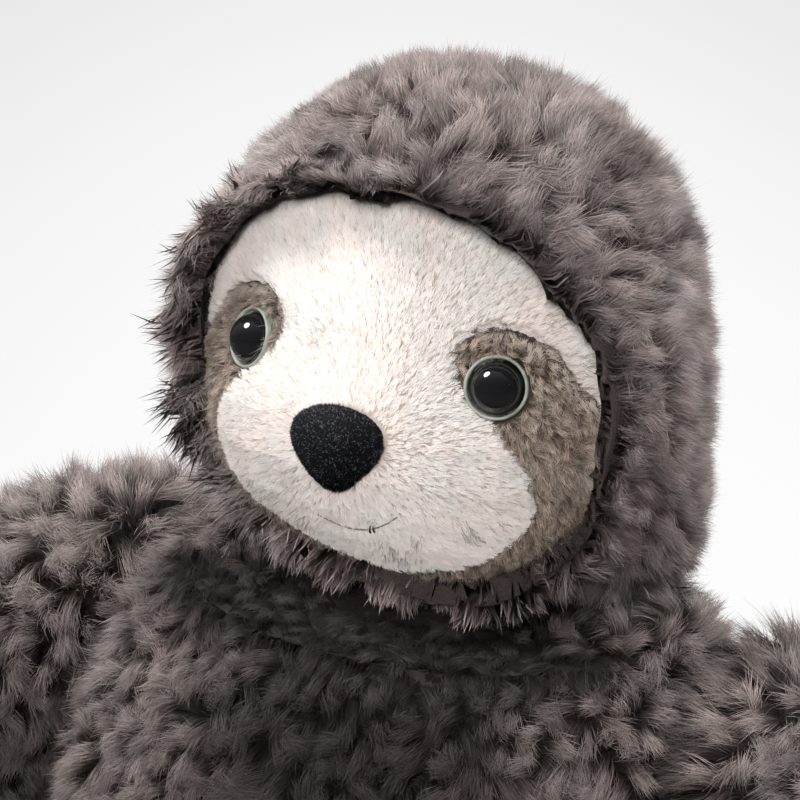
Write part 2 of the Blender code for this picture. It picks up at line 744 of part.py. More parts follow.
def leg_line(side):
    """The middle line of a leg, which comes down to the floor in front of the belly, and its radius there."""
    at = stations(LEG_STATIONS)
    radii = HIP_RADIUS * eased(LEG_RADIUS_SHARES, at)
    out = HIP_SPREAD + LEG_SPLAY * eased(LEG_OUT_SHARES, at)
    forward_share = eased(LEG_FORWARD_SHARES, at)
    lift = TOE_LIFT * eased(LEG_LIFT_SHARES, at)
    fall = (HIP_HEIGHT - HIP_RADIUS + FLAT_DEPTH) * np.clip(forward_share / LEG_FORWARD_SHARES[3], 0.0, 1.0)
    up = HIP_HEIGHT + (radii - HIP_RADIUS) - fall + lift
    return np.stack([side * out, -HIP_FORWARD - LEG_REACH * forward_share, up], 1), radii


def claws(name, end, run, fur_edge):
    """Three curved horns in a row across the end of a limb, cut to its cover."""
    run = run.normalized()
    across = run.cross(Vector((0, 0, 1))).normalized()
    down = across.cross(run).normalized() * -1
    share = np.linspace(0.0, 1.0, len(CLAW_RADIUS_SHARES))
    radii = CLAW_RADIUS * np.array(CLAW_RADIUS_SHARES)
    made = []
    for number in range(3):
        root = end + across * ((number - 1) * CLAW_PITCH) - run * (CLAW_LENGTH * CLAW_ROOT_SHARE)
        path = [root + run * (CLAW_LENGTH * (1 + CLAW_ROOT_SHARE) * s) + down * (CLAW_DIP * s * s) for s in share]
        claw_name = f"{name}_{number + 1}"
        claw = new_object(claw_name, tube(claw_name, path, radii, CLAW_SIDES))
        combine(claw, fur_edge)
        made.append(finish_piece(claw, HORN, 0.7))
    return made


def limb(name, points, radii, keep_out, ground):
    """A limb's cover, its stuffing and its claws, cut at its seam and where it rests."""
    lining_name, stuffing_name, edge_name = f"{name}_lining", f"{name}_stuffing", f"{name}_edge"
    cover = new_object(f"{name}_cover", rounded_tube(f"{name}_cover", points, radii, 0.0, COVER_SIDES))
    lining = new_object(
        lining_name,
        rounded_tube(lining_name, points, radii, COVER_THICKNESS, LINING_SIDES),
        cutter=True,
    )
    stuffing = new_object(
        stuffing_name,
        rounded_tube(stuffing_name, points, radii, COVER_THICKNESS + SEAM_GAP, LINING_SIDES),
    )
    edge = new_object(
        edge_name, rounded_tube(edge_name, points, radii, -SEAM_GAP, COVER_SIDES), cutter=True
    )
    for cutter in (lining, keep_out, ground):
        combine(cover, cutter)
    combine(stuffing, keep_out)
    horns = claws(f"{name}_claw", Vector(points[-1]), Vector(points[-1] - points[-2]), edge)
    return [finish_piece(cover, FUR), finish_piece(stuffing, FIBRE), *horns]


def build_arms(ground):
    for side_name, side in SIDES.items():
        points, radii = arm_line(side_name, side)
        made = limb(f"arm_{side_name}", points, radii, arm_limit(side_name, side), ground)
        carry(axis_at(f"{side_name}_shoulder_axis", (side * SHOULDER_SPREAD, SHOULDER_BACK, SHOULDER_HEIGHT)), made)


def build_legs(ground):
    for side_name, side in SIDES.items():
        inside = box(
            f"hip_seam_{side_name}",
            (-HIP_SEAM_SPREAD, -HIP_FORWARD - LEG_REACH - CUT_OVERRUN, -CUT_OVERRUN),
            (HIP_SEAM_SPREAD, CUT_OVERRUN, CUT_OVERRUN + HIP_HEIGHT),
        )
        points, radii = leg_line(side)
        made = limb(f"leg_{side_name}", points, radii, inside, ground)
        carry(axis_at(f"{side_name}_hip_axis", (side * HIP_SPREAD, -HIP_FORWARD, HIP_HEIGHT)), made)


def torso_form(name, inset, segments=28, rings=18):
    middle = (0.0, 0.0, TORSO_HALF_HEIGHT - FLAT_DEPTH)
    mesh = shaped_ball(
        name,
        middle,
        TORSO_HALF_WIDTH,
        TORSO_FRONT,
        TORSO_BACK,
        TORSO_HALF_HEIGHT,
        segments,
        rings,
        rise_shares=TORSO_RISE_SHARES,
        width_shares=TORSO_WIDTH_SHARES,
        front_shares=TORSO_FRONT_SHARES,
        back_shares=TORSO_BACK_SHARES,
    )
    return draw_in(mesh, inset)


def build_torso(ground):
    """The cover, open at its five seams, and its stuffing. The head sits and turns on the flat neck seam."""
    neck = head[2] - NECK_DROP
    cover = new_object("torso_cover", torso_form("torso_cover", 0.0))
    lining = new_object("torso_lining", torso_form("torso_lining", COVER_THICKNESS, 20, 12), cutter=True)
    stuffing = new_object("torso_stuffing", torso_form("torso_stuffing", COVER_THICKNESS + SEAM_GAP, 20, 12))
    combine(lining, all_above("above_lining", neck - COVER_THICKNESS))
    combine(lining, neck_column("neck_hole", NECK_RADIUS), "UNION")
    combine(stuffing, all_above("above_stuffing", neck - COVER_THICKNESS - SEAM_GAP))
    combine(stuffing, neck_column("neck_filling", NECK_RADIUS - SEAM_GAP), "UNION")
    combine(cover, lining)
    combine(cover, ground)
    spaces = [all_above("above_neck", neck)]
    for side_name, side in SIDES.items():
        space_name = f"leg_space_{side_name}"
        space = rounded_tube(space_name, *leg_line(side), -TURNING_GAP, COVER_SIDES)
        leg_space = new_object(space_name, space, cutter=True)
        corners = [side * (HIP_SEAM_SPREAD - SEAM_GAP), side * (HIP_SPREAD + CUT_OVERRUN)]
        behind_leg = (HIP_RADIUS + TURNING_GAP) * round_room(COVER_SIDES) - HIP_FORWARD
        leg_sweep = box(
            f"leg_sweep_{side_name}",
            (min(corners), -HIP_FORWARD - CUT_OVERRUN, -CUT_OVERRUN),
            (max(corners), behind_leg, HIP_HEIGHT),
        )
        spaces += [armhole(side_name, side), hip_socket(side_name, side), leg_sweep, leg_space]
    for piece in (cover, stuffing):
        for space in spaces:
            combine(piece, space)
    finish_piece(cover, FUR)
    finish_piece(stuffing, FIBRE)


floor_reach = 4 * CUT_OVERRUN
below_floor = box("below_floor", (-floor_reach, -floor_reach, -CUT_OVERRUN), (floor_reach, floor_reach, 0.0))
build_torso(below_floor)
build_head()
build_arms(below_floor)
build_legs(below_floor)
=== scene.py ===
import math

import bmesh
import bpy
import numpy as np
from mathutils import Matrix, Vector
from mathutils.bvhtree import BVHTree
from mathutils.kdtree import KDTree


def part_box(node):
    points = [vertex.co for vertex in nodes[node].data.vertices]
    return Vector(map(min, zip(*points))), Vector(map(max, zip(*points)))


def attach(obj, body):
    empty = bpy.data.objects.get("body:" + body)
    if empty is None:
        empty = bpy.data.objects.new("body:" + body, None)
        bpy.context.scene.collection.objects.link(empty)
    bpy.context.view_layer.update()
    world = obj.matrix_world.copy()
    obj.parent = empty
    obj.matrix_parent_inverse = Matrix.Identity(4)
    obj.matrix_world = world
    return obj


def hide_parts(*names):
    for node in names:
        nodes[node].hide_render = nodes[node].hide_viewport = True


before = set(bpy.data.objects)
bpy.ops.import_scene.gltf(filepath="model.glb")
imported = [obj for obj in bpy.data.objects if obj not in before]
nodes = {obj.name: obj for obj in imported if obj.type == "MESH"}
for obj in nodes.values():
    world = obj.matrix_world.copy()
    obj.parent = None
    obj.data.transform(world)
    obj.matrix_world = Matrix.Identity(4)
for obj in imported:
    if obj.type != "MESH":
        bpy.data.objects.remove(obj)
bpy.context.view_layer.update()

# The set: the toy sits on a pale table top that runs on behind it without an edge. A round soft
# light stands above it on the viewer's left, a weaker one on the right, and a narrow one near the
# camera lights the head. The room is bright above and dark in front.
CAMERA_AZIMUTH = math.radians(33)
CAMERA_ELEVATION = math.radians(19)
CAMERA_DISTANCE = 0.762
CAMERA_TARGET = np.array([-0.0044, -0.0039, 0.2189])
LENS_MM = 140
SENSOR_MM = 36
TABLE_HALF_WIDTH = 6.0
TABLE_COLOUR = (0.07, 0.07, 0.07, 1)
# Painted light: the table's glow for the camera, where it is brightest and how it fades.
TABLE_PAINTED_GLOW = 0.87
PAINTED_GLOW_MIDDLE = (0.0, 0.634)
PAINTED_GLOW_STRETCH = 3.6
ROOM_COLOUR = (0.98, 0.985, 1.0, 1)
ROOM_DARKEST = 0.015
ROOM_BRIGHTEST = 0.45
KEY_SIZE = 0.4
KEY_DISTANCE = 1.0
KEY_POWER = 8.0
FILL_SIZE = 0.8
FILL_DISTANCE = 1.2
FILL_POWER = 14.0
FACE_LIGHT_SIZE = 0.16
FACE_LIGHT_DISTANCE = 0.9
FACE_LIGHT_CONE = math.radians(21)
FACE_LIGHT_POWER = 60.0
FACE_LIGHT_AIM = (0, 0, 0.252)
TABLE_ROUGHNESS = 0.8
PAINTED_GLOW_FADE_START = 0.08
PAINTED_GLOW_FADE_END = 0.5
PAINTED_GLOW_FADE_SHARE = 0.85

camera_back = np.array(
    [
        math.sin(CAMERA_AZIMUTH) * math.cos(CAMERA_ELEVATION),
        -math.cos(CAMERA_AZIMUTH) * math.cos(CAMERA_ELEVATION),
        math.sin(CAMERA_ELEVATION),
    ]
)
camera_right = np.array([math.cos(CAMERA_AZIMUTH), math.sin(CAMERA_AZIMUTH), 0.0])
camera_up = np.cross(camera_back, camera_right)

scene = bpy.context.scene
scene.view_settings.view_transform = "Standard"
camera = bpy.data.objects.new("camera", bpy.data.cameras.new("camera"))
camera.data.lens = LENS_MM
camera.data.sensor_width = SENSOR_MM
camera.location = CAMERA_TARGET + CAMERA_DISTANCE * camera_back
camera.rotation_euler = (math.pi / 2 - CAMERA_ELEVATION, 0, CAMERA_AZIMUTH)
scene.collection.objects.link(camera)
scene.camera = camera


def soft_light(name, way, distance, size, power):
    """A round soft light that stands off the head in the way given, and faces it."""
    data = bpy.data.lights.new(name, "AREA")
    data.shape = "DISK"
    data.size = size
    data.energy = power
    light = bpy.data.objects.new(name, data)
    way = Vector(way).normalized()
    light.location = Vector(CAMERA_TARGET) + distance * way
    light.rotation_euler = way.to_track_quat("Z", "Y").to_euler()
    scene.collection.objects.link(light)
    return light


key_way = -0.60 * camera_right + 0.80 * camera_up + 0.32 * camera_back
fill_way = 0.85 * camera_right + 0.60 * camera_up - 0.10 * camera_back
soft_light("key_light", key_way, KEY_DISTANCE, KEY_SIZE, KEY_POWER)
soft_light("fill_light", fill_way, FILL_DISTANCE, FILL_SIZE, FILL_POWER)

face_light = bpy.data.objects.new("face_light", bpy.data.lights.new("face_light", "SPOT"))
face_light.data.spot_size = FACE_LIGHT_CONE
face_light.data.spot_blend = 1.0
face_light.data.shadow_soft_size = FACE_LIGHT_SIZE
face_light.visible_glossy = False
face_light.data.energy = FACE_LIGHT_POWER
face_way = Vector(-0.12 * camera_right + 0.14 * camera_up + 0.97 * camera_back).normalized()
face_light.location = Vector(FACE_LIGHT_AIM) + FACE_LIGHT_DISTANCE * face_way
face_light.rotation_euler = face_way.to_track_quat("Z", "Y").to_euler()
scene.collection.objects.link(face_light)


def shading(tree, kind, inputs=(), **settings):
    """Adds a shader node. Each of its inputs gets a value, or the output of another node."""
    node = tree.nodes.new(kind)
    for key, value in settings.items():
        setattr(node, key, value)
    for key, value in dict(inputs).items():
        if isinstance(value, bpy.types.NodeSocket):
            tree.links.new(value, node.inputs[key])
        else:
            node.inputs[key].default_value = value
    return node


ROOM_BRIGHT_WAY = -0.55 * camera_back + (0, 0, 0.80)

room = bpy.data.worlds.new("room")
room.use_nodes = True
tree = room.node_tree
around = shading(tree, "ShaderNodeTexCoord").outputs["Generated"]
facing_sky = shading(
    tree, "ShaderNodeVectorMath", {0: around, 1: ROOM_BRIGHT_WAY}, operation="DOT_PRODUCT"
)
sky_range = {"Value": facing_sky.outputs["Value"], "From Min": -0.05, "From Max": 0.9}
sky_range.update({"To Min": ROOM_DARKEST, "To Max": ROOM_BRIGHTEST})
sky = shading(tree, "ShaderNodeMapRange", sky_range, interpolation_type="SMOOTHSTEP")
tree.nodes["Background"].inputs["Color"].default_value = ROOM_COLOUR
tree.links.new(sky.outputs["Result"], tree.nodes["Background"].inputs["Strength"])
scene.world = room


def new_material(name):
    """A material with its node tree and its shader, which the piece's own nodes then feed."""
    material = bpy.data.materials.new(name)
    material.use_nodes = True
    return material, material.node_tree, material.node_tree.nodes["Principled BSDF"]


# The table top is lit like the toy, and for the camera alone it also glows: painted light. The
# glow is a painted pool of light, brightest round the toy, and it darkens slowly away from it.
table_finish, tree, shader = new_material("table_top")
place = shading(tree, "ShaderNodeTexCoord").outputs["Object"]
middle_shift = (-PAINTED_GLOW_MIDDLE[0], -PAINTED_GLOW_MIDDLE[1] / PAINTED_GLOW_STRETCH, 0)
flat = {0: place, 1: (1, 1 / PAINTED_GLOW_STRETCH, 0), 2: middle_shift}
place = shading(tree, "ShaderNodeVectorMath", flat, operation="MULTIPLY_ADD").outputs[0]
away = shading(tree, "ShaderNodeVectorMath", {0: place}, operation="LENGTH").outputs["Value"]
fade_range = {"Value": away, "From Min": PAINTED_GLOW_FADE_START, "From Max": PAINTED_GLOW_FADE_END}
fade_range.update({"To Min": 1.0, "To Max": PAINTED_GLOW_FADE_SHARE})
painted_glow_fade = shading(tree, "ShaderNodeMapRange", fade_range, interpolation_type="SMOOTHSTEP").outputs["Result"]
direct = shading(tree, "ShaderNodeLightPath").outputs["Is Camera Ray"]
painted_glow = shading(tree, "ShaderNodeMath", {0: painted_glow_fade, 1: TABLE_PAINTED_GLOW}, operation="MULTIPLY").outputs["Value"]
painted_glow = shading(tree, "ShaderNodeMath", {0: painted_glow, 1: direct}, operation="MULTIPLY").outputs["Value"]
tree.links.new(painted_glow, shader.inputs["Emission Strength"])
shader.inputs["Emission Color"].default_value = (1, 1, 1, 1)
shader.inputs["Base Color"].default_value = TABLE_COLOUR
shader.inputs["Roughness"].default_value = TABLE_ROUGHNESS
table_mesh = bpy.data.meshes.new("table_top")
reach = TABLE_HALF_WIDTH
table_mesh.from_pydata(
    [(-reach, -reach, 0), (reach, -reach, 0), (reach, reach, 0), (-reach, reach, 0)], [], [(0, 1, 2, 3)]
)
table_mesh.materials.append(table_finish)
table = bpy.data.objects.new("table_top", table_mesh)
table.rotation_euler = (0, 0, CAMERA_AZIMUTH)
scene.collection.objects.link(table)

# The head's backing cloth: a knitted ground made dark as painted shade for the depth of the pile, sewn
# as a deep hood round the head's stuffing. The long pile is knitted into it, so it shows only deep between
# the locks.
WELD_GAP = 1e-6
PILE_DEPTH = 0.007
RIM_DRAW = 0.25
CROWN_DRAW = 0.0022
SEAT_DRAW = 0.25
WALL_REACH = 0.02
RIM_OPENING = 0.0062
OPENING_REACH = 0.022
HEAD_CELL = 0.0018
HEAD_ROUNDS = 9
CLOTH_CELL = 0.0028
CLOTH_ROUNDS = 4
KNIT_PITCH = 0.0011
# Painted shade: the grounds are dark to stand for the shade deep in the pile; the body's is darker than the
# head's.
KNIT_DARK = (0.022, 0.016, 0.015, 1)
KNIT_LIGHT = (0.060, 0.046, 0.043, 1)
HEAD_KNIT_DARK = (0.040, 0.031, 0.029, 1)
HEAD_KNIT_LIGHT = (0.100, 0.079, 0.073, 1)
HEAD_MIDDLE = np.array([0.0, 0.006, 0.236])


def unit(rows):
    """The same directions, one long."""
    return rows / np.maximum(np.linalg.norm(rows, axis=-1, keepdims=True), 1e-9)


def smooth(low, high, value):
    """0 at low, 1 at high, and eased between them."""
    share = np.clip((value - low) / (high - low), 0.0, 1.0)
    return share * share * (3 - 2 * share)


def points_of(mesh):
    """The places of a mesh's vertices, one in a row."""
    points = np.empty(len(mesh.vertices) * 3)
    mesh.vertices.foreach_get("co", points)
    return points.reshape(-1, 3)


def normals_of(mesh):
    """The normals of a mesh's vertices, one in a row."""
    normals = np.empty(len(mesh.vertices) * 3)
    mesh.vertex_normals.foreach_get("vector", normals)
    return normals.reshape(-1, 3)


def add_piece(name, mesh, material, body):
    """A new piece of the toy, with its finish, on the body that it moves with."""
    mesh.name = name
    mesh.materials.clear()
    mesh.materials.append(material)
    piece = bpy.data.objects.new(name, mesh)
    scene.collection.objects.link(piece)
    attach(piece, body)
    return piece


def joined_mesh(name, node_names):
    """One mesh with the faces of several nodes, their loose corners welded."""
    joined = bmesh.new()
    for node in node_names:
        joined.from_mesh(nodes[node].data)
    bmesh.ops.remove_doubles(joined, verts=joined.verts, dist=WELD_GAP)
    mesh = bpy.data.meshes.new(name)
    joined.to_mesh(mesh)
    joined.free()
    return mesh


def remeshed(mesh, cell, rounds):
    """The mesh's outer skin, rebuilt with faces of one size and softened."""
    holder = bpy.data.objects.new("holder", mesh)
    scene.collection.objects.link(holder)
    rebuild = holder.modifiers.new("rebuild", "REMESH")
    rebuild.mode = "VOXEL"
    rebuild.voxel_size = cell
    rebuild.use_smooth_shade = True
    soften = holder.modifiers.new("soften", "SMOOTH")
    soften.factor = 0.5
    soften.iterations = rounds
    result = bpy.data.meshes.new_from_object(holder.evaluated_get(bpy.context.evaluated_depsgraph_get()))
    bpy.data.objects.remove(holder)
    return result


def facing_face(points, normals):
    """About 1 on the wall of the hood's opening, which looks in at the face, and 0 elsewhere."""
    out_from_face = unit((points - HEAD_MIDDLE) * (1, 0, 1))
    in_front = smooth(WALL_REACH, 0.0, points[:, 1] - HEAD_MIDDLE[1])
    return smooth(0.0, -0.5, (normals * out_from_face).sum(1)) * in_front


def crown_sides(places):
    """1 on the head's upper side at the camera's right, -1 on the left one, and 0 below."""
    way = unit(places - HEAD_MIDDLE)
    across = way @ camera_right
    return smooth(0.1, 0.6, way @ camera_up) * (smooth(0.0, 0.6, across) - smooth(0.0, -0.6, across))


def trees_of(node_names):
    """A search tree over each node's triangles, for gaps and for what lies over a place."""
    trees = []
    for name in node_names:
        mesh = nodes[name].data
        mesh.calc_loop_triangles()
        corners = [tuple(triangle.vertices) for triangle in mesh.loop_triangles]
        trees.append(BVHTree.FromPolygons([v.co[:] for v in mesh.vertices], corners))
    return trees


face_tree = trees_of(["face_panel"])[0]


def rim_opening(points):
    """How far the hood's rim is pulled out from the face, which bares the cheek on the camera's right."""
    from_face = np.array([face_tree.find_nearest(point)[3] for point in points.tolist()])
    out_from_face = unit((points - HEAD_MIDDLE) * (1, 0, 1))
    share = smooth(-0.1, 0.5, out_from_face @ camera_right) * smooth(OPENING_REACH, 0.0, from_face)
    return (RIM_OPENING * share)[:, None] * out_from_face


def backing_cloth(name, body, node_names):
    """The dark cloth of a stuffed piece, drawn in by the depth of its pile, less on a seat or a rim. Its
    darkness is painted shade.
    """
    cell, rounds = (HEAD_CELL, HEAD_ROUNDS) if body == "head" else (CLOTH_CELL, CLOTH_ROUNDS)
    mesh = remeshed(joined_mesh(name, node_names), cell, rounds)
    points, normals = points_of(mesh), normals_of(mesh)
    depth = np.full(len(points), PILE_DEPTH)
    if body == "head":
        depth *= 1 - (1 - RIM_DRAW) * facing_face(points, normals)
        depth += CROWN_DRAW * np.maximum(-crown_sides(points), 0)
    draw = depth[:, None] * normals
    if body == "head":
        draw -= rim_opening(points)
    draw[:, 2] = np.where((normals[:, 2] < 0) & (points[:, 2] < cell), SEAT_DRAW * draw[:, 2], draw[:, 2])
    mesh.vertices.foreach_set("co", (points - draw).ravel())
    mesh.update()
    piece = add_piece(name, mesh, head_knit_finish if body == "head" else knit_finish, body)
    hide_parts(*node_names)
    return piece


def new_group(name, inputs, outputs):
    """A shader node group with its sockets, as lists of label, kind and first value."""
    group = bpy.data.node_groups.new(name, "ShaderNodeTree")
    for label, kind, value in inputs:
        group.interface.new_socket(label, in_out="INPUT", socket_type=kind).default_value = value
    for label, kind in outputs:
        group.interface.new_socket(label, in_out="OUTPUT", socket_type=kind)
    return group, group.nodes.new("NodeGroupInput"), group.nodes.new("NodeGroupOutput")


def cloth_group():
    """Rows of knitted loops with a little felting: a colour, and a height for a bump."""
    group, given, out = new_group(
        "cloth_loops",
        [
            ("Dark", "NodeSocketColor", (0, 0, 0, 1)),
            ("Light", "NodeSocketColor", (1, 1, 1, 1)),
            ("Pitch", "NodeSocketFloat", 0.001),
        ],
        [("Color", "NodeSocketColor"), ("Height", "NodeSocketFloat")],
    )
    place = shading(group, "ShaderNodeTexCoord").outputs["Object"]
    pitch = given.outputs["Pitch"]
    finer = shading(group, "ShaderNodeMath", {0: 1.0, 1: pitch}, operation="DIVIDE").outputs[0]
    wave = {"Vector": place, "Scale": finer}
    rows = shading(group, "ShaderNodeTexWave", {**wave, "Distortion": 1.5}, bands_direction="Z")
    files = shading(group, "ShaderNodeTexWave", {**wave, "Distortion": 2.0}, bands_direction="X")
    felt = shading(group, "ShaderNodeTexNoise", {"Vector": place, "Scale": finer, "Detail": 4.0})
    loops = shading(
        group, "ShaderNodeMath", {0: rows.outputs["Fac"], 1: files.outputs["Fac"]}, operation="MULTIPLY"
    ).outputs[0]
    height = shading(group, "ShaderNodeMath", {0: loops, 1: felt.outputs["Fac"]}, operation="ADD").outputs[0]
    height_range = {"Value": height, "From Min": 0.3, "From Max": 1.3}
    share = shading(group, "ShaderNodeMapRange", height_range).outputs[0]
    tones = {0: share, 6: given.outputs["Dark"], 7: given.outputs["Light"]}
    mixed = shading(group, "ShaderNodeMix", tones, data_type="RGBA")
    group.links.new(mixed.outputs[2], out.inputs["Color"])
    group.links.new(height, out.inputs["Height"])
    return group


cloth_loops = cloth_group()


def cloth_finish(name, dark, light, pitch):
    """A matt cloth finish with its loops in the colour and in the bump."""
    material, tree, shader = new_material(name)
    cloth = shading(tree, "ShaderNodeGroup", node_tree=cloth_loops)
    for label, value in (("Dark", dark), ("Light", light), ("Pitch", pitch)):
        cloth.inputs[label].default_value = value
    bump = shading(
        tree, "ShaderNodeBump", {"Height": cloth.outputs["Height"], "Distance": pitch / 3, "Strength": 0.6}
    )
    tree.links.new(cloth.outputs["Color"], shader.inputs["Base Color"])
    tree.links.new(bump.outputs["Normal"], shader.inputs["Normal"])
    shader.inputs["Roughness"].default_value = 0.95
    return material


knit_finish = cloth_finish("knitted_ground", KNIT_DARK, KNIT_LIGHT, KNIT_PITCH)
head_knit_finish = cloth_finish("head_ground", HEAD_KNIT_DARK, HEAD_KNIT_LIGHT, KNIT_PITCH)
head_cloth = backing_cloth("head_cloth", "head", ["head_hood", "head_stuffing"])

# The head's long pile: fine grey-brown polyester fibres with paler tips. It is sheared soft and
# even on the crown and the nape, and curls in small tufts round the face.
# The dark roots are painted shade for the depth of the pile; the paler tips are the fibres' own colour.
FUR_ROOT = (0.034, 0.026, 0.024, 1)
FUR_MIDDLE = (0.125, 0.098, 0.091, 1)
FUR_TIP = (0.36, 0.303, 0.286, 1)
# Painted shade: the near-black that the fur takes in creases, under the chin and down the chest.
FUR_PAINTED_SHADE = (0.012, 0.009, 0.008, 1)
# Painted light: a lighter copy of the long fur's colours for the far side of the rim, standing for light
# that comes through its fibres.
RIM_ROOT_PAINTED_LIGHT = (0.13, 0.105, 0.098, 1)
RIM_MIDDLE_PAINTED_LIGHT = (0.27, 0.225, 0.210, 1)
RIM_TIP_PAINTED_LIGHT = (0.46, 0.40, 0.38, 1)
SOFT_ROWS = np.array([0.0, 0.6, 1.0])
CURLY_ROWS = np.array([0.0, 0.4, 0.75, 1.0])
MOST_TRIANGLES = 197000
BAKE_MARGIN = 0.15
CLEAR_ABOVE = 0.0015
CHIN_CLEARANCE = 0.003
RIM_CLEARANCE = 0.6 * PILE_DEPTH
CHIN_DEPTH = 0.012
TABLE_CLEARANCE = 0.0003
FIBRE_TAPER = 0.55
LOCK_TONE = 0.40
LOCK_TONE_SPREAD = 0.23
FIBRE_TONE_SPREAD = 0.22
# Painted highlight: how much brighter the glinting fibres are made, and what share of them glints.
PAINTED_GLINT = 0.6
PAINTED_GLINT_SHARE = 0.14
HOOD_ROOTS = 0.8e6
HOOD_ROOTS_SEEN = 5.7e6
HOOD_LOCK = 0.0042
HOOD_PILE = 0.0088
FAR_RIM_PILE = 0.0016
NEAR_RIM_PILE = 0.0006
CHIN_PILE = 0.0014
WALL_PILE = 0.0026
NEAR_WALL_PILE = 0.0022
CROWN_PILE_SHARE = 0.36
HOOD_FIBRE = 0.00058
HOOD_FIBRE_SEEN = 0.00016

rng = np.random.default_rng(5)
lit_way = unit(camera_back + 0.45 * unit(key_way) + 0.2 * unit(fill_way))


def seen(places, normals):
    """About 1 where the camera sees a skin, and 0 on its far side and outside the picture."""
    ahead = places - (CAMERA_TARGET + CAMERA_DISTANCE * camera_back)
    half = -(ahead @ camera_back) * SENSOR_MM / (2 * LENS_MM)
    out = np.maximum(np.abs(ahead @ camera_right), np.abs(ahead @ camera_up)) / half
    return smooth(1.25, 1.03, out) * smooth(-0.75, -0.35, normals @ camera_back)


def sown(mesh, density):
    """Roots sown over a skin, with its normals there. density gives the roots for a square metre."""
    points, normals = points_of(mesh), normals_of(mesh)
    mesh.calc_loop_triangles()
    corners = np.empty(len(mesh.loop_triangles) * 3, dtype=np.int64)
    mesh.loop_triangles.foreach_get("vertices", corners)
    corners = corners.reshape(-1, 3)
    a, b, c = (points[corners[:, k]] for k in range(3))
    area = np.linalg.norm(np.cross(b - a, c - a), axis=1) / 2
    middle_normal = unit(normals[corners].sum(1))
    count = rng.poisson(area * density((a + b + c) / 3, middle_normal))
    at = np.repeat(np.arange(len(corners)), count)
    u, v = rng.random((2, len(at)))
    over = u + v > 1
    u, v = np.where(over, 1 - u, u)[:, None], np.where(over, 1 - v, v)[:, None]
    roots = a[at] + u * (b - a)[at] + v * (c - a)[at]
    na, nb, nc = (normals[corners[:, k]][at] for k in range(3))
    order = rng.permutation(len(at))
    return roots[order], unit(na * (1 - u - v) + nb * u + nc * v)[order]


def uncovered(roots, ways, node_names, reach):
    """True for each root that has none of these solids over it within reach."""
    free = np.ones(len(roots), dtype=bool)
    for tree in trees_of(node_names):
        for index in np.flatnonzero(free).tolist():
            free[index] = tree.ray_cast(roots[index], ways[index], reach)[0] is None
    return free


wave_ways = unit(rng.normal(0, 1, (9, 3)))
wave_sides = rng.normal(0, 1, (9, 3))
wave_starts = rng.random(9) * 2 * math.pi


def swirl(places, length):
    """A way for each place that changes slowly over the skin, in waves about this long."""
    phase = places @ wave_ways.T * (2 * math.pi / length) * np.linspace(0.7, 1.4, 9) + wave_starts
    return np.sin(phase) @ wave_sides / 3


def lock_middles(roots, spacing):
    """The roots that carry a lock's middle: none is closer to another than the spacing there."""
    taken = {}
    chosen = []
    cell = float(spacing.max())
    keys = np.floor(roots / cell).astype(int).tolist()
    steps = [(x, y, z) for x in (-1, 0, 1) for y in (-1, 0, 1) for z in (-1, 0, 1)]
    for index, ((x, y, z), place, gap) in enumerate(zip(keys, roots.tolist(), spacing.tolist())):
        near = (other for step in steps for other in taken.get((x + step[0], y + step[1], z + step[2]), ()))
        if all(math.dist(place, other) > gap for other in near):
            taken.setdefault((x, y, z), []).append(place)
            chosen.append(index)
    return np.array(chosen)


def nearest(middles, roots):
    """The number of the lock that each root belongs to."""
    tree = KDTree(len(middles))
    for index, place in enumerate(middles.tolist()):
        tree.insert(place, index)
    tree.balance()
    return np.array([tree.find(root)[1] for root in roots.tolist()])


def strand_piece(name, body, strands, rows, material):
    """Thin tapering ribbons in one mesh, with normals of their own and a cell of their UV map each."""
    paths, facing = strands["paths"], strands["facing"]
    count, steps = paths.shape[:2]
    side = unit(np.cross(np.gradient(paths, axis=1), facing[:, None]))[:, :-1]
    taper = 1 - FIBRE_TAPER * rows[:-1] ** 2
    half = (strands["width"][:, None] * taper / 2)[:, :, None]
    pairs = np.stack([paths[:, :-1] - side * half, paths[:, :-1] + side * half], 2).reshape(count, -1, 3)
    points = np.concatenate([pairs, paths[:, -1:]], 1)
    per = points.shape[1]
    faces = [[2 * k, 2 * k + 1, 2 * k + 3, 2 * k + 2] for k in range(steps - 2)]
    faces.append([2 * steps - 4, 2 * steps - 3, 2 * steps - 2])
    loops = np.concatenate(faces)
    starts = np.cumsum([0] + [len(face) for face in faces[:-1]])
    base = np.arange(count)[:, None]
    mesh = bpy.data.meshes.new(name)
    mesh.vertices.add(count * per)
    mesh.vertices.foreach_set("co", points.ravel())
    mesh.loops.add(count * len(loops))
    mesh.loops.foreach_set("vertex_index", (base * per + loops).ravel())
    mesh.polygons.add(count * len(faces))
    mesh.polygons.foreach_set("loop_start", (base * len(loops) + starts).ravel())
    mesh.update(calc_edges=True)

    along = np.concatenate([np.repeat(rows[:-1], 2), rows[-1:]])
    readings = {"along": np.tile(along, count)}
    readings.update({key: np.repeat(strands[key], per) for key in ("tone", "edge")})
    for key, values in readings.items():
        mesh.attributes.new(key, "FLOAT", "POINT").data.foreach_set("value", values.astype(np.float32))
    shade = np.repeat(strands["shade"], [2] * (steps - 1) + [1], axis=1)
    mesh.attributes.new("custom_normal", "FLOAT_VECTOR", "POINT").data.foreach_set("vector", shade.ravel())

    cells = math.ceil(math.sqrt(count))
    across = np.concatenate([np.tile([0.0, 1.0], steps - 1), [0.5]])
    cell = np.stack([across, along], 1) * (1 - 2 * BAKE_MARGIN) + BAKE_MARGIN
    corner = np.stack([base[:, 0] % cells, base[:, 0] // cells], 1)
    uv = ((corner[:, None] + cell) / cells)[:, loops]
    mesh.uv_layers.new(name="OFBake").data.foreach_set("uv", uv.ravel())
    return add_piece(name, mesh, material, body)


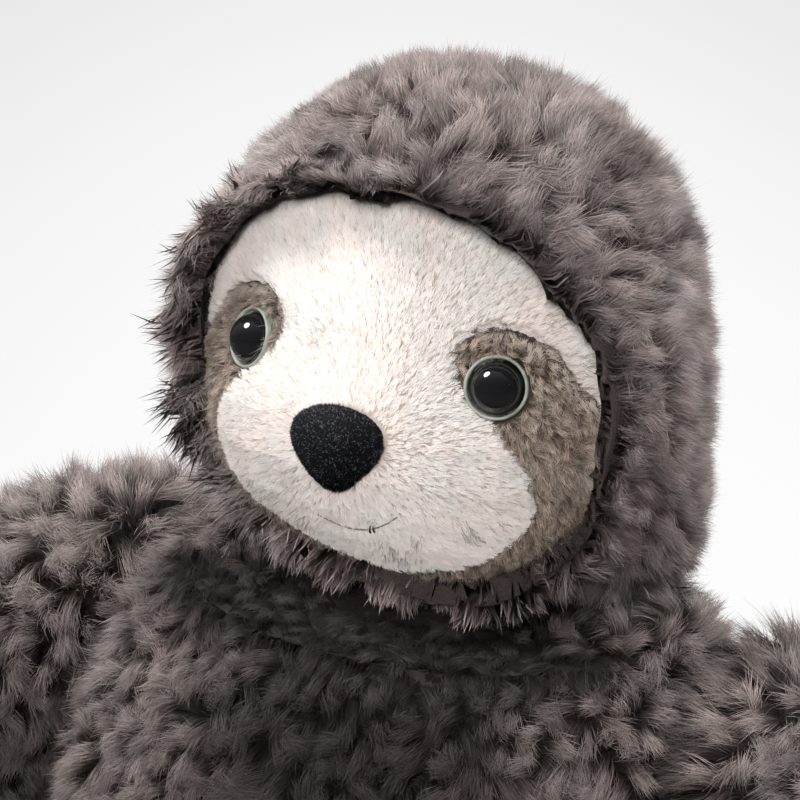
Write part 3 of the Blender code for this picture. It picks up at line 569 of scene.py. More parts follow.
def grow(name, body, roots, normals, look, rows, material):
    """Grows locks of fibres from roots, and makes as many pieces of them as the count needs.

    look holds a value for each root, or one for all: spacing between locks, length, width, gather (how far
    a lock's tips draw together), lean (which way it falls), stray (how far locks differ), fuzz (how far
    fibres in a lock differ), uneven (how far lengths differ), curl, round (how far a lock is lit as a
    round thing), even (how far the light is spread over the piece) and edge (how far the finish's second
    colour is mixed in: painted shade on the body's fur, painted highlights on the nose, brown tint with
    painted shade at the face's edge, cream on the patches).
    """
    look = {key: np.broadcast_to(value, (len(roots),) + np.shape(value)[1:]) for key, value in look.items()}
    thin = 8 if len(roots) > 60000 else 1
    heads = thin * lock_middles(roots[::thin], look["spacing"][::thin])
    of = nearest(roots[heads], roots + rng.normal(0, 0.12, roots.shape) * look["spacing"][:, None])
    pick = heads[of]
    middle, up = roots[pick], normals[pick]
    wander = rng.normal(0, 1, (len(heads), 3))[of]
    aim = unit(up + look["lean"][pick] + wander * look["stray"][pick][:, None])
    short = 0.5 * rng.random(len(heads))[of] + rng.random(len(roots))
    length = (look["length"] * (1 - look["uneven"] * short))[:, None]
    swing = rng.normal(0, 1, (len(heads), 3))[of]
    bend = unit(np.cross(aim, swing)) * (look["curl"][:, None] * length)
    stray = rng.normal(0, 1, roots.shape) * (look["fuzz"][:, None] * length)
    t = rows[None, :, None]
    axis = 1.1 * t * (1 - t) * (length * up)[:, None] + t * t * (length * aim)[:, None]
    offset = (roots - middle)[:, None] * (1 - look["gather"][:, None, None] * t**1.3)
    paths = middle[:, None] + offset + axis + np.sin(1.5 * math.pi * t) * bend[:, None]
    paths = paths + t * t * stray[:, None]
    floor = TABLE_CLEARANCE + 0.0004 * rng.random((len(roots), 1))
    paths[:, :, 2] = np.maximum(paths[:, :, 2], floor)

    run = unit(np.gradient(paths, axis=1))
    own = normals[:, None] - run * (run * normals[:, None]).sum(-1, keepdims=True)
    round_lock = (roots - middle) / look["spacing"][:, None]
    lock_turn = look["round"][:, None, None] * round_lock[:, None]
    flat = normals + look["even"][:, None] * (lit_way - normals)
    shade = unit(flat[:, None] + lock_turn + 0.35 * unit(own) + 0.35 * run).astype(np.float32)
    close_up = seen(roots, normals)
    # Painted highlight: a share of the fibres is made brighter, as glints of light on them.
    painted_glint = PAINTED_GLINT * (rng.random(len(roots)) < PAINTED_GLINT_SHARE)
    lock_tone = rng.normal(LOCK_TONE, LOCK_TONE_SPREAD, len(heads))[of]
    tone = np.clip(lock_tone + rng.normal(0, FIBRE_TONE_SPREAD, len(roots)) + painted_glint, 0, 1.5)
    count = math.ceil(len(roots) * (2 * len(rows) - 3) / MOST_TRIANGLES)
    towards = close_up[:, None] * lit_way + (1 - 0.6 * close_up)[:, None] * normals
    facing = unit(towards + rng.normal(0, 0.2, roots.shape))
    from_middle = roots - roots.mean(0)
    turn = np.argsort(np.arctan2(from_middle[:, 1], from_middle[:, 0]))
    for number, part in enumerate(np.array_split(turn, max(count, 1))):
        strands = {
            "paths": paths[part],
            "facing": facing[part],
            "shade": shade[part],
            "width": look["width"][part],
            "tone": tone[part],
            "edge": look["edge"][part],
        }
        strand_piece(f"{name}_{number + 1}" if count > 1 else name, body, strands, rows, material)


def pile_group():
    """Colours a fibre from its root to its tip, with tones that differ from lock to lock. The darkening
    towards the root is painted shade for the depth of the pile; the paler tips are the fibres' own.
    """
    group, given, out = new_group(
        "pile_shade",
        [
            ("Root", "NodeSocketColor", (0, 0, 0, 1)),
            ("Middle", "NodeSocketColor", (0.5, 0.5, 0.5, 1)),
            ("Tip", "NodeSocketColor", (1, 1, 1, 1)),
            ("Painted light and mark", "NodeSocketColor", (0.2, 0.15, 0.12, 1)),
            ("Tone range", "NodeSocketFloat", 0.5),
            ("Patch size", "NodeSocketFloat", 60.0),
        ],
        [("Color", "NodeSocketColor"), ("Roughness", "NodeSocketFloat")],
    )

    def reading(key):
        return shading(group, "ShaderNodeAttribute", attribute_name=key).outputs["Fac"]

    def blend(share, a, b, kind="MIX"):
        mixed = shading(group, "ShaderNodeMix", {0: share, 6: a, 7: b}, data_type="RGBA", blend_type=kind)
        return mixed.outputs[2]

    def span(value, low, high, to_low=0.0, to_high=1.0):
        limits = {"Value": value, "From Min": low, "From Max": high, "To Min": to_low, "To Max": to_high}
        eased = shading(group, "ShaderNodeMapRange", limits, interpolation_type="SMOOTHSTEP")
        return eased.outputs["Result"]

    along = reading("along")
    low = blend(span(along, 0.0, 0.6), given.outputs["Root"], given.outputs["Middle"])
    colour = blend(span(along, 0.45, 1.0), low, given.outputs["Tip"])
    place = shading(group, "ShaderNodeTexCoord").outputs["Object"]
    patches = shading(
        group, "ShaderNodeTexNoise", {"Vector": place, "Scale": given.outputs["Patch size"], "Detail": 3.0}
    )
    warm = blend(span(patches.outputs["Fac"], 0.35, 0.65), (0.97, 0.985, 1.0, 1), (1.03, 0.985, 0.985, 1))
    colour = blend(1.0, colour, warm, "MULTIPLY")
    toned = shading(
        group, "ShaderNodeMath", {0: reading("tone"), 1: given.outputs["Tone range"]}, operation="MULTIPLY"
    )
    half_range = {0: given.outputs["Tone range"], 1: -0.5, 2: 1.0}
    half = shading(group, "ShaderNodeMath", half_range, operation="MULTIPLY_ADD")
    lift = shading(group, "ShaderNodeMath", {0: toned.outputs[0], 1: half.outputs[0]}, operation="ADD")
    lifted = shading(group, "ShaderNodeVectorMath", {0: colour, "Scale": lift.outputs[0]}, operation="SCALE")
    # The edge value mixes in the second colour: painted shade on the body's fur, painted highlights on the
    # nose, brown tint and painted shade at the face's edge, and the cream strip's own colour on the patches.
    with_painted_light_and_mark = blend(reading("edge"), lifted.outputs[0], given.outputs["Painted light and mark"])
    group.links.new(with_painted_light_and_mark, out.inputs["Color"])
    group.links.new(span(along, 0.0, 1.0, 0.8, 0.6), out.inputs["Roughness"])
    return group


pile_shade = pile_group()


def pile_finish(name, root, middle, tip, painted_light_and_mark, tone_range):
    """A soft fibre finish, with a colour at the root, the middle and the tip, and a second colour that the
    edge value mixes in: painted light on some finishes, a real colour on others.
    """
    material, tree, shader = new_material(name)
    pile = shading(tree, "ShaderNodeGroup", node_tree=pile_shade)
    values = {"Root": root, "Middle": middle, "Tip": tip, "Painted light and mark": painted_light_and_mark, "Tone range": tone_range}
    for label, value in values.items():
        pile.inputs[label].default_value = value
    tree.links.new(pile.outputs["Color"], shader.inputs["Base Color"])
    tree.links.new(pile.outputs["Roughness"], shader.inputs["Roughness"])
    shader.inputs["Specular IOR Level"].default_value = 0.25
    return material


fur_finish = pile_finish("long_fur", FUR_ROOT, FUR_MIDDLE, FUR_TIP, FUR_PAINTED_SHADE, 0.95)
rim_fur_painted_light_finish = pile_finish("rim_fur", RIM_ROOT_PAINTED_LIGHT, RIM_MIDDLE_PAINTED_LIGHT, RIM_TIP_PAINTED_LIGHT, FUR_PAINTED_SHADE, 0.95)

roots, normals = sown(
    head_cloth.data, lambda places, ways: HOOD_ROOTS + HOOD_ROOTS_SEEN * seen(places, ways)
)
inward = facing_face(roots, normals)
forward = np.array([0.0, -1.0, 0.0])
out_from_face = unit((roots - HEAD_MIDDLE) * (1, 0, 1))
near_side = smooth(-0.1, 0.6, out_from_face @ camera_right)
open_way = (1.2 + 0.9 * near_side)[:, None] * out_from_face + (1.2 - 0.7 * near_side)[:, None] * forward
normals = unit(normals + inward[:, None] * open_way)
free = uncovered(roots, normals, ["torso_cover"], CHIN_CLEARANCE)
free &= uncovered(roots, normals, ["face_panel", "eye_patch_left", "eye_patch_right"], RIM_CLEARANCE)
free &= roots[:, 2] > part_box("face_panel")[0][2] - CHIN_DEPTH
roots, normals, inward = roots[free], normals[free], inward[free]
out_from_face, near_side = out_from_face[free], near_side[free]
from_middle = roots - HEAD_MIDDLE
close = seen(roots, normals)
rim = smooth(0.004, -0.022, from_middle[:, 1])
chin = smooth(-0.040, -0.052, from_middle[:, 2]) * rim
far_side = smooth(0.2, 0.6, out_from_face @ -camera_right)
curly = rim * (1 - chin) * (1 - 0.75 * far_side)
lean = ((0.20 + 0.85 * near_side) * curly)[:, None] * out_from_face + np.array([0, 0, -0.15])
lean += 0.5 * (rim * far_side)[:, None] * forward
lean -= (0.40 * near_side * curly)[:, None] * forward
lean += chin[:, None] * np.array([0, -0.1, -0.5])
lean += 0.26 * swirl(roots, 0.022) + 0.18 * swirl(roots, 0.009)
fur_look = {
    "spacing": HOOD_LOCK - 0.0003 * curly,
    "length": (
        (HOOD_PILE + FAR_RIM_PILE * rim * far_side + NEAR_RIM_PILE * curly - CHIN_PILE * chin)
        - (WALL_PILE + NEAR_WALL_PILE * near_side) * inward * (1 - 0.7 * chin)
    )
    * (1 + CROWN_PILE_SHARE * crown_sides(roots)),
    "width": HOOD_FIBRE - (HOOD_FIBRE - HOOD_FIBRE_SEEN) * close,
    "gather": 0.26 + (0.12 + 0.22 * near_side) * curly - 0.12 * rim * far_side,
    "lean": lean,
    "stray": 0.10 + (0.14 + 0.20 * near_side) * curly + 0.08 * rim * far_side,
    "fuzz": 0.12 + 0.05 * curly + 0.10 * rim * far_side,
    "uneven": 0.12 + 0.10 * curly,
    "curl": 0.06 + 0.18 * curly,
    "round": 0.32 + 0.50 * curly,
    "even": 0.6 * rim * far_side,
    "edge": 0.0,
}
# The puffy roots on the far side of the rim take the lighter copy of the fur, which is painted light.
puffy = rng.random(len(roots)) < smooth(0.15, 0.6, rim * far_side)
for name, chosen, rows, finish in (
    ("hood_fur", ~puffy & (curly < 0.35), SOFT_ROWS, fur_finish),
    ("rim_fur", ~puffy & (curly >= 0.35), CURLY_ROWS, fur_finish),
    ("rim_fur_far", puffy, SOFT_ROWS, rim_fur_painted_light_finish),
):
    look = {key: value[chosen] if np.ndim(value) else value for key, value in fur_look.items()}
    grow(name, "head", roots[chosen], normals[chosen], look, rows, finish)

# The face panel: one cream piece of short velvety pile, cut and stuffed to a muzzle, and sewn
# into the hood's opening. Its fibres lie in strokes that spread from the nose.
FACE_CELL = 0.0008
FACE_ROUNDS = 2
FACE_DRAW = 0.0008
CREAM_ROOT = (0.66, 0.57, 0.50, 1)
CREAM_MIDDLE = (0.86, 0.79, 0.73, 1)
CREAM_TIP = (0.95, 0.91, 0.87, 1)
# Along the hood's edge the cream pile turns brown: partly a brown tint on its fibres, partly painted shade
# where the face meets the hood.
EDGE_BROWN_AND_SHADE = (0.20, 0.14, 0.11, 1)
NOSE_MIDDLE = np.array([0.0, -0.041, 0.2186])
FACE_ROOTS = 11e6
FACE_LOCK = 0.0012
FACE_PILE = 0.0027
NOSE_PILE_DROP = 0.0006
FACE_FIBRE = 0.00017
FACE_EDGE = 0.0018
SHORT_ROWS = np.array([0.0, 0.6, 1.0])

cream_cloth = cloth_finish("cream_ground", (0.50, 0.42, 0.36, 1), CREAM_ROOT, 0.0005)
cream_finish = pile_finish("cream_pile", CREAM_ROOT, CREAM_MIDDLE, CREAM_TIP, EDGE_BROWN_AND_SHADE, 0.14)


def face_cloth(name, node, material):
    """The cloth of one face piece, drawn towards the middle of the head by its pile."""
    mesh = remeshed(joined_mesh(name, [node]), FACE_CELL, FACE_ROUNDS)
    points = points_of(mesh)
    way = unit(points - HEAD_MIDDLE)
    mesh.vertices.foreach_set("co", (points - FACE_DRAW * way).ravel())
    mesh.update()
    piece = add_piece(name, mesh, material, "head")
    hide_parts(node)
    return piece


hood_tree = trees_of(["head_hood"])[0]


def edge_share(roots, wide):
    """How near each root is to the hood's edge, from 0 at this width to 1, with a ragged border."""
    gap = np.array([hood_tree.find_nearest(root)[3] for root in roots.tolist()])
    return 1 - smooth(0.2, 1.0, gap / wide + rng.normal(0, 0.18, len(roots)))


def pile_roots(piece, density, tops):
    """Roots on the front of a face piece, clear of what is sewn on it."""
    roots, normals = sown(piece.data, lambda places, ways: np.full(len(places), density))
    front = (normals * unit(roots - HEAD_MIDDLE)).sum(1) > 0.25
    roots, normals = roots[front], normals[front]
    free = uncovered(roots, normals, tops, 0.012)
    return roots[free], normals[free]


eye_nodes = ["eye_left", "eye_right", "eye_rim_left", "eye_rim_right"]
face = face_cloth("face_cloth", "face_panel", cream_cloth)
roots, normals = pile_roots(face, FACE_ROOTS, ["nose"] + eye_nodes)
away = roots - NOSE_MIDDLE
away -= normals * (away * normals).sum(1)[:, None]
face_look = {
    "spacing": FACE_LOCK,
    "length": FACE_PILE - NOSE_PILE_DROP * smooth(0.0, 0.012, 0.012 - np.linalg.norm(away, axis=1)),
    "width": FACE_FIBRE,
    "gather": 0.25,
    "lean": 2.2 * unit(away),
    "stray": 0.18,
    "fuzz": 0.12,
    "uneven": 0.2,
    "curl": 0.04,
    "round": 0.0,
    "even": 0.45 + 0.4 * smooth(0.215, 0.195, roots[:, 2]),
    # Brown tint and painted shade along the hood's edge.
    "edge": 0.7 * edge_share(roots, FACE_EDGE),
}
grow("face_pile", "head", roots, normals, face_look, SHORT_ROWS, cream_finish)

# The eye patches: brown pile a little longer and curlier than the face's, each sewn edge to edge
# into the face round its eye and along the cheek.
BROWN_ROOT = (0.085, 0.062, 0.048, 1)
BROWN_MIDDLE = (0.21, 0.16, 0.125, 1)
BROWN_TIP = (0.52, 0.43, 0.35, 1)
PATCH_ROOTS = 12e6
PATCH_LOCK = 0.0013
PATCH_PILE = 0.0030
PATCH_FIBRE = 0.00016

brown_cloth = cloth_finish("brown_ground", (0.05, 0.035, 0.028, 1), BROWN_ROOT, 0.0005)
brown_finish = pile_finish("brown_pile", BROWN_ROOT, BROWN_MIDDLE, BROWN_TIP, CREAM_ROOT, 1.0)


def middle_of(node):
    """The middle of a node's own welded corners, which is on its axis where it is round."""
    return points_of(joined_mesh(node, [node])).mean(0)


for side_name in ("left", "right"):
    patch = face_cloth(f"eye_patch_cloth_{side_name}", f"eye_patch_{side_name}", brown_cloth)
    roots, normals = pile_roots(patch, PATCH_ROOTS, eye_nodes)
    away = roots - middle_of(f"eye_rim_{side_name}") + np.array([0, 0, 0.006])
    away -= normals * (away * normals).sum(1)[:, None]
    rim_tree = trees_of([f"eye_rim_{side_name}"])[0]
    from_rim = np.array([rim_tree.find_nearest(root)[3] for root in roots.tolist()])
    outer_side = np.array([1.0 if side_name == "left" else -1.0, 0, 0])
    lower_inner = smooth(-0.3, 0.6, unit(away) @ (-0.85 * outer_side - (0, 0, 0.5)))
    over_rim = smooth(0.0026, 0.0004, from_rim) * lower_inner
    outward = (0.8 - 2.6 * over_rim)[:, None]
    upper_outer = smooth(-0.1, 0.6, unit(away) @ (0.85 * outer_side + (0, 0, 0.5)))
    strip_end = smooth(0.206, 0.222, roots[:, 2]) * smooth(0.0, 0.6, unit(away) @ outer_side)
    from_hood = np.array([hood_tree.find_nearest(root)[3] for root in roots.tolist()])
    by_hood = smooth(0.0045, 0.0020, from_hood + rng.normal(0, 0.0005, len(roots)))
    from_face = np.array([face_tree.find_nearest(root)[3] for root in roots.tolist()])
    by_strip = upper_outer * smooth(0.0035, 0.0008, from_face)
    patch_look = {
        "spacing": PATCH_LOCK,
        "length": PATCH_PILE * (1 + 0.4 * over_rim - 0.45 * by_strip),
        "width": PATCH_FIBRE,
        "gather": 0.35,
        "lean": (1 - 1.2 * by_strip)[:, None] * outward * unit(away)
        + (1 - over_rim)[:, None] * np.array([0, 0, -1.1])
        + 0.5 * swirl(roots, 0.007),
        "stray": 0.42,
        "fuzz": 0.2,
        "uneven": 0.25,
        "curl": 0.2,
        "round": 0.5,
        "even": 0.3,
        "edge": np.maximum(
            0.85 * upper_outer * smooth(0.0038, 0.0002, from_face + rng.normal(0, 0.0006, len(roots))),
            0.9 * strip_end * by_hood,
        ),
    }
    name = f"eye_patch_pile_{side_name}"
    grow(name, "head", roots, normals, patch_look, SHORT_ROWS, brown_finish)

# The eyes: domes of black plastic moulded in one with their stems and polished. The stem goes
# through the cloth into a washer.
TURN_STEPS = 72
DOME_STEPS = 20
# Black plastic, lifted a little as a painted reflection of the dim room in the dome.
EYE_BLACK = (0.010, 0.010, 0.011, 1)


def turned_mesh(name, profile, place, axis, closed):
    """A smooth turned skin. The profile is (radius, distance along the axis) points."""
    across = unit(np.cross(axis, [0.3, 0.2, 1.0]))
    third = np.cross(axis, across)
    turn = np.linspace(0, 2 * math.pi, TURN_STEPS, endpoint=False)[:, None, None]
    radius, along = np.array(profile).T[:, None, :, None]
    rings = place + radius * (np.cos(turn) * across + np.sin(turn) * third) + along * axis
    count = len(profile)
    faces = []
    for step in range(TURN_STEPS):
        here, there = step * count, (step + 1) % TURN_STEPS * count
        for k in range(count if closed else count - 1):
            after = (k + 1) % count
            faces.append((here + k, here + after, there + after, there + k))
    mesh = bpy.data.meshes.new(name)
    mesh.from_pydata(rings.reshape(-1, 3).tolist(), [], faces)
    shape = bmesh.new()
    shape.from_mesh(mesh)
    bmesh.ops.remove_doubles(shape, verts=shape.verts, dist=WELD_GAP)
    bmesh.ops.recalc_face_normals(shape, faces=shape.faces)
    shape.to_mesh(mesh)
    shape.free()
    mesh.shade_smooth()
    mesh.set_sharp_from_angle(angle=math.radians(50))
    return mesh


def measured(node, place, axis):
    """Each corner of a round node as its distance from an axis and its distance along it."""
    from_place = points_of(joined_mesh(node, [node])) - place
    along = from_place @ axis
    return np.linalg.norm(from_place - along[:, None] * axis, axis=1), along


eye_finish, tree, shader = new_material("eye_black")
place = shading(tree, "ShaderNodeTexCoord").outputs["Object"]
wear = shading(tree, "ShaderNodeTexNoise", {"Vector": place, "Scale": 420.0, "Detail": 5.0}).outputs["Fac"]
wear_range = {"Value": wear, "From Min": 0.3, "From Max": 0.75, "To Min": 0.035, "To Max": 0.075}
tree.links.new(shading(tree, "ShaderNodeMapRange", wear_range).outputs[0], shader.inputs["Roughness"])
shader.inputs["Base Color"].default_value = EYE_BLACK
shader.inputs["Coat Weight"].default_value = 0.6
shader.inputs["Coat Roughness"].default_value = 0.02

eye_axes = {}
for side_name in ("left", "right"):
    base = middle_of(f"eye_rim_{side_name}")
    eye_axes[side_name] = unit(base - middle_of(f"eye_washer_{side_name}"))
    radius, along = measured(f"eye_{side_name}", base, eye_axes[side_name])
    wide, foot = radius.max(), along[radius > 0.9 * radius.max()].min()
    stem = radius[along < foot - 0.001].max()
    profile = [
        (wide * math.sin(a) ** 0.9, foot + (along.max() - foot) * math.cos(a))
        for a in np.linspace(0, math.pi / 2, DOME_STEPS)
    ]
    profile += [(stem, foot), (stem, along.min()), (0.0, along.min())]
    mesh = turned_mesh(f"eye_dome_{side_name}", profile, base, eye_axes[side_name], closed=False)
    dome = add_piece(f"eye_dome_{side_name}", mesh, eye_finish, "head")
    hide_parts(f"eye_{side_name}")

# The eye rims: rings of pale grey-green plastic that seat each dome in the pile. They are moulded
# with a rounded lip and left with a satin surface.
RIM_PALE = (0.46, 0.48, 0.42, 1)
RIM_SHADE = (0.26, 0.28, 0.23, 1)
RING_SHARE = 0.8

rim_finish, tree, shader = new_material("eye_rim")
place = shading(tree, "ShaderNodeTexCoord").outputs["Object"]
cloudy = shading(tree, "ShaderNodeTexNoise", {"Vector": place, "Scale": 260.0, "Detail": 4.0}).outputs["Fac"]
cloudy = shading(tree, "ShaderNodeMapRange", {"Value": cloudy, "From Min": 0.35, "From Max": 0.7}).outputs[0]
tinted = shading(tree, "ShaderNodeMix", {0: cloudy, 6: RIM_PALE, 7: RIM_SHADE}, data_type="RGBA").outputs[2]
tree.links.new(tinted, shader.inputs["Base Color"])
shader.inputs["Roughness"].default_value = 0.35
shader.inputs["Subsurface Weight"].default_value = 0.15
shader.inputs["Subsurface Radius"].default_value = (0.001, 0.001, 0.001)

for side_name in ("left", "right"):
    base = middle_of(f"eye_rim_{side_name}")
    radius, along = measured(f"eye_rim_{side_name}", base, eye_axes[side_name])
    inner, foot, top = radius.min(), along.min(), RING_SHARE * along.max()
    outer_edge = inner + RING_SHARE * (radius.max() - inner)
    lip = [
        (inner + (outer_edge - inner) * (1 - math.cos(a)) / 2, top * math.sin(a) ** 0.7)
        for a in np.linspace(0.05, math.pi - 0.05, DOME_STEPS)
    ]
    profile = [(inner, foot)] + lip + [(outer_edge, foot)]
    mesh = turned_mesh(f"eye_ring_{side_name}", profile, base, eye_axes[side_name], closed=True)
    ring = add_piece(f"eye_ring_{side_name}", mesh, rim_finish, "head")
    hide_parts(f"eye_rim_{side_name}")

# The nose: a moulded rounded triangle covered with blue-black flock; its fine speckles of caught light
# are painted highlights, a pale colour on a share of the fibres. Its stem holds it in the muzzle.
NOSE_CELL = 0.0007
NOSE_ROUNDS = 3
FLOCK_LENGTH = 0.00055
NOSE_BLACK = (0.002, 0.002, 0.003, 1)
NOSE_MIDDLE_TONE = (0.004, 0.004, 0.005, 1)
NOSE_TIP = (0.022, 0.023, 0.028, 1)
NOSE_PAINTED_SPARK = (0.15, 0.155, 0.18, 1)
FLOCK_ROOTS = 22e6
FLOCK_LOCK = 0.0006
FLOCK_FIBRE = 0.00015
FLOCK_DEPTH = 0.014
PAINTED_SPARK_SHARE = 0.10

nose_ground = cloth_finish("nose_ground", (0.004, 0.004, 0.006, 1), NOSE_BLACK, 0.0002)
flock_finish = pile_finish("nose_flock", NOSE_BLACK, NOSE_MIDDLE_TONE, NOSE_TIP, NOSE_PAINTED_SPARK, 1.6)
nose_mesh = remeshed(joined_mesh("nose_body", ["nose"]), NOSE_CELL, NOSE_ROUNDS)
nose = add_piece("nose_body", nose_mesh, nose_ground, "head")
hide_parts("nose")
roots, normals = sown(nose.data, lambda places, ways: np.full(len(places), FLOCK_ROOTS))
front = (normals[:, 1] < 0.15) & (roots[:, 1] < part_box("nose")[0][1] + FLOCK_DEPTH)
roots, normals = roots[front], normals[front]
flock_look = {
    "spacing": FLOCK_LOCK,
    "length": FLOCK_LENGTH,
    "width": FLOCK_FIBRE,
    "gather": 0.1,
    "lean": np.zeros((1, 3)),
    "stray": 0.5,
    "fuzz": 0.5,
    "uneven": 0.3,
    "curl": 0.0,
    "round": 0.0,
    "even": 0.0,
    # Painted highlights: a share of the flock fibres takes the pale speckle colour.
    "edge": (rng.random(len(roots)) < PAINTED_SPARK_SHARE).astype(float),
}
grow("nose_pile", "head", roots, normals, flock_look, SHORT_ROWS, flock_finish)

# The mouth: one two-ply cotton thread laid along the muzzle in a smile and drawn into the pile.
PLY_RADIUS = 0.00013
THREAD_SINK = 0.0004
TWIST_LENGTH = 0.0016
MOUTH_POINTS = 120
PLY_SIDES = 8
THREAD_DARK = (0.16, 0.125, 0.10, 1)
THREAD_LIGHT = (0.34, 0.28, 0.23, 1)
TIE_DARK = (0.012, 0.010, 0.009, 1)
TIE_LIGHT = (0.06, 0.05, 0.045, 1)
TIE_PLACES = (0.0068, 0.0080)
TIE_HALF_LENGTH = 0.0008
TIE_RADIUS = 0.00022


def tube_mesh(name, path, radius):
    """A round tube along a path, with closed ends."""
    run = unit(np.gradient(path, axis=0))
    side = unit(np.cross(run, [0.1, 1.0, 0.2]))
    third = np.cross(run, side)
    turn = np.linspace(0, 2 * math.pi, PLY_SIDES, endpoint=False)[:, None]
    rings = path[:, None] + radius * (np.cos(turn) * side[:, None] + np.sin(turn) * third[:, None])
    faces = []
    for ring in range(len(path) - 1):
        for k in range(PLY_SIDES):
            after = (k + 1) % PLY_SIDES
            here = ring * PLY_SIDES
            faces.append((here + k, here + after, here + PLY_SIDES + after, here + PLY_SIDES + k))
    last = (len(path) - 1) * PLY_SIDES
    faces += [tuple(range(PLY_SIDES))[::-1], tuple(range(last, last + PLY_SIDES))]
    mesh = bpy.data.meshes.new(name)
    mesh.from_pydata(rings.reshape(-1, 3).tolist(), [], faces)
    mesh.shade_smooth()
    return mesh


thread_finish = cloth_finish("mouth_thread", THREAD_DARK, THREAD_LIGHT, 0.00025)
corners = points_of(joined_mesh("mouth_path", ["mouth_stitch"]))
across = np.linspace(0.55 * corners[:, 0].min(), corners[:, 0].max(), MOUTH_POINTS)
depth = np.polynomial.Polynomial.fit(corners[:, 0], corners[:, 1], 6)(across) + THREAD_SINK
height = np.polynomial.Polynomial.fit(corners[:, 0], corners[:, 2], 4)(across)
line = np.stack([across, depth, height], 1)
run = unit(np.gradient(line, axis=0))
side = unit(np.cross(run, [0.0, 1.0, 0.0]))
for number in range(2):
    angle = 2 * math.pi * across / TWIST_LENGTH + number * math.pi
    round_line = np.cos(angle)[:, None] * side + np.sin(angle)[:, None] * np.cross(run, side)
    mesh = tube_mesh(f"mouth_ply_{number + 1}", line + 0.9 * PLY_RADIUS * round_line, PLY_RADIUS)
    ply = add_piece(f"mouth_ply_{number + 1}", mesh, thread_finish, "head")
    if number == 0:
        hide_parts("mouth_stitch")
tie_finish = cloth_finish("mouth_tie", TIE_DARK, TIE_LIGHT, 0.00025)
for number, place in enumerate(TIE_PLACES):
    at = int(np.argmin(np.abs(across - place)))
    reach = np.linspace(-1, 1, 9)[:, None]
    tie_line = line[at] + TIE_HALF_LENGTH * reach * (side[at] + 0.5 * run[at])
    tie_line[:, 1] -= 0.0004 * (1 - reach[:, 0] ** 2) + 0.0003
    mesh = tube_mesh(f"mouth_tie_{number + 1}", tie_line, TIE_RADIUS)
    add_piece(f"mouth_tie_{number + 1}", mesh, tie_finish, "head")

# The washers: moulded discs pressed on the stems of the eyes and the nose inside the head. They
# stay as they were made, under the cloth, with a faint moulding grain.
WASHER_SHADE = (0.62, 0.62, 0.60, 1)
WASHER_PALE = (0.76, 0.76, 0.73, 1)
GRAIN_DEPTH = 0.00005

washer_finish, tree, shader = new_material("washer")
place = shading(tree, "ShaderNodeTexCoord").outputs["Object"]
grain = shading(tree, "ShaderNodeTexNoise", {"Vector": place, "Scale": 900.0, "Detail": 3.0}).outputs["Fac"]
tint = shading(tree, "ShaderNodeMix", {0: grain, 6: WASHER_SHADE, 7: WASHER_PALE}, data_type="RGBA")
bump = shading(tree, "ShaderNodeBump", {"Height": grain, "Distance": GRAIN_DEPTH})
tree.links.new(tint.outputs[2], shader.inputs["Base Color"])
tree.links.new(bump.outputs["Normal"], shader.inputs["Normal"])
shader.inputs["Roughness"].default_value = 0.5
for node in ("eye_washer_left", "eye_washer_right", "nose_washer"):
    nodes[node].data.materials.clear()
    nodes[node].data.materials.append(washer_finish)

# The torso: a pear of long fur over stuffing, sewn shut at the neck, with its pile brushed down
# the chest and shorter under the chin.
# The body's fur has darker roots and middles than the head's: painted shade, deeper than on the head.
BODY_ROOT = (0.012, 0.009, 0.008, 1)
BODY_MIDDLE = (0.060, 0.047, 0.043, 1)
BODY_TIP = (0.45, 0.38, 0.355, 1)
BODY_ROOTS = 0.6e6
BODY_ROOTS_SEEN = 4.6e6
BODY_LOCK = 0.0052
BODY_LOCK_SEEN = 0.0036
BODY_FIBRE = 0.00065
BODY_FIBRE_SEEN = 0.00017
CREASE_REACH = 0.014
CREASE_DEPTH = 0.003
TORSO_PILE = 0.0110
NECK_PILE_DROP = 0.0060
SHOULDER_PILE = 0.0035

painted_shade_body_finish = pile_finish("body_fur", BODY_ROOT, BODY_MIDDLE, BODY_TIP, FUR_PAINTED_SHADE, 0.7)


def crease_painted_shade(roots, neighbours):
    """1 where a neighbour lies close against the pile: how far the crease there takes painted shade."""
    gaps = [[tree.find_nearest(root)[3] for root in roots.tolist()] for tree in trees_of(neighbours)]
    return smooth(CREASE_REACH, CREASE_DEPTH, np.min(gaps, axis=0))


def body_look(close, **own):
    """The look of the body's fur, with a piece's own values put in."""
    look = {
        "spacing": BODY_LOCK - (BODY_LOCK - BODY_LOCK_SEEN) * close,
        "width": BODY_FIBRE - (BODY_FIBRE - BODY_FIBRE_SEEN) * close,
        "fuzz": 0.14,
        "curl": 0.08,
        "round": 0.8,
        "even": 0.0,
        "edge": 0.0,
    }
    look.update(own)
    return look


def limb_fur(body, cloth_nodes, neighbours, look_of):
    """The backing cloth of the torso or a limb, and its long fur, clear of what it is sewn to."""
    cloth = backing_cloth(f"{body}_cloth", body, cloth_nodes)
    roots, normals = sown(cloth.data, lambda places, ways: BODY_ROOTS + BODY_ROOTS_SEEN * seen(places, ways))
    free = uncovered(roots, normals, neighbours, PILE_DEPTH + CLEAR_ABOVE)
    roots, normals = roots[free], normals[free]
    look = look_of(roots, seen(roots, normals))
    # Painted shade in the creases where a piece lies against its neighbours.
    look["edge"] = np.maximum(look["edge"], 0.95 * crease_painted_shade(roots, neighbours))
    grow(f"{body}_fur", body, roots, normals, look, CURLY_ROWS, painted_shade_body_finish)


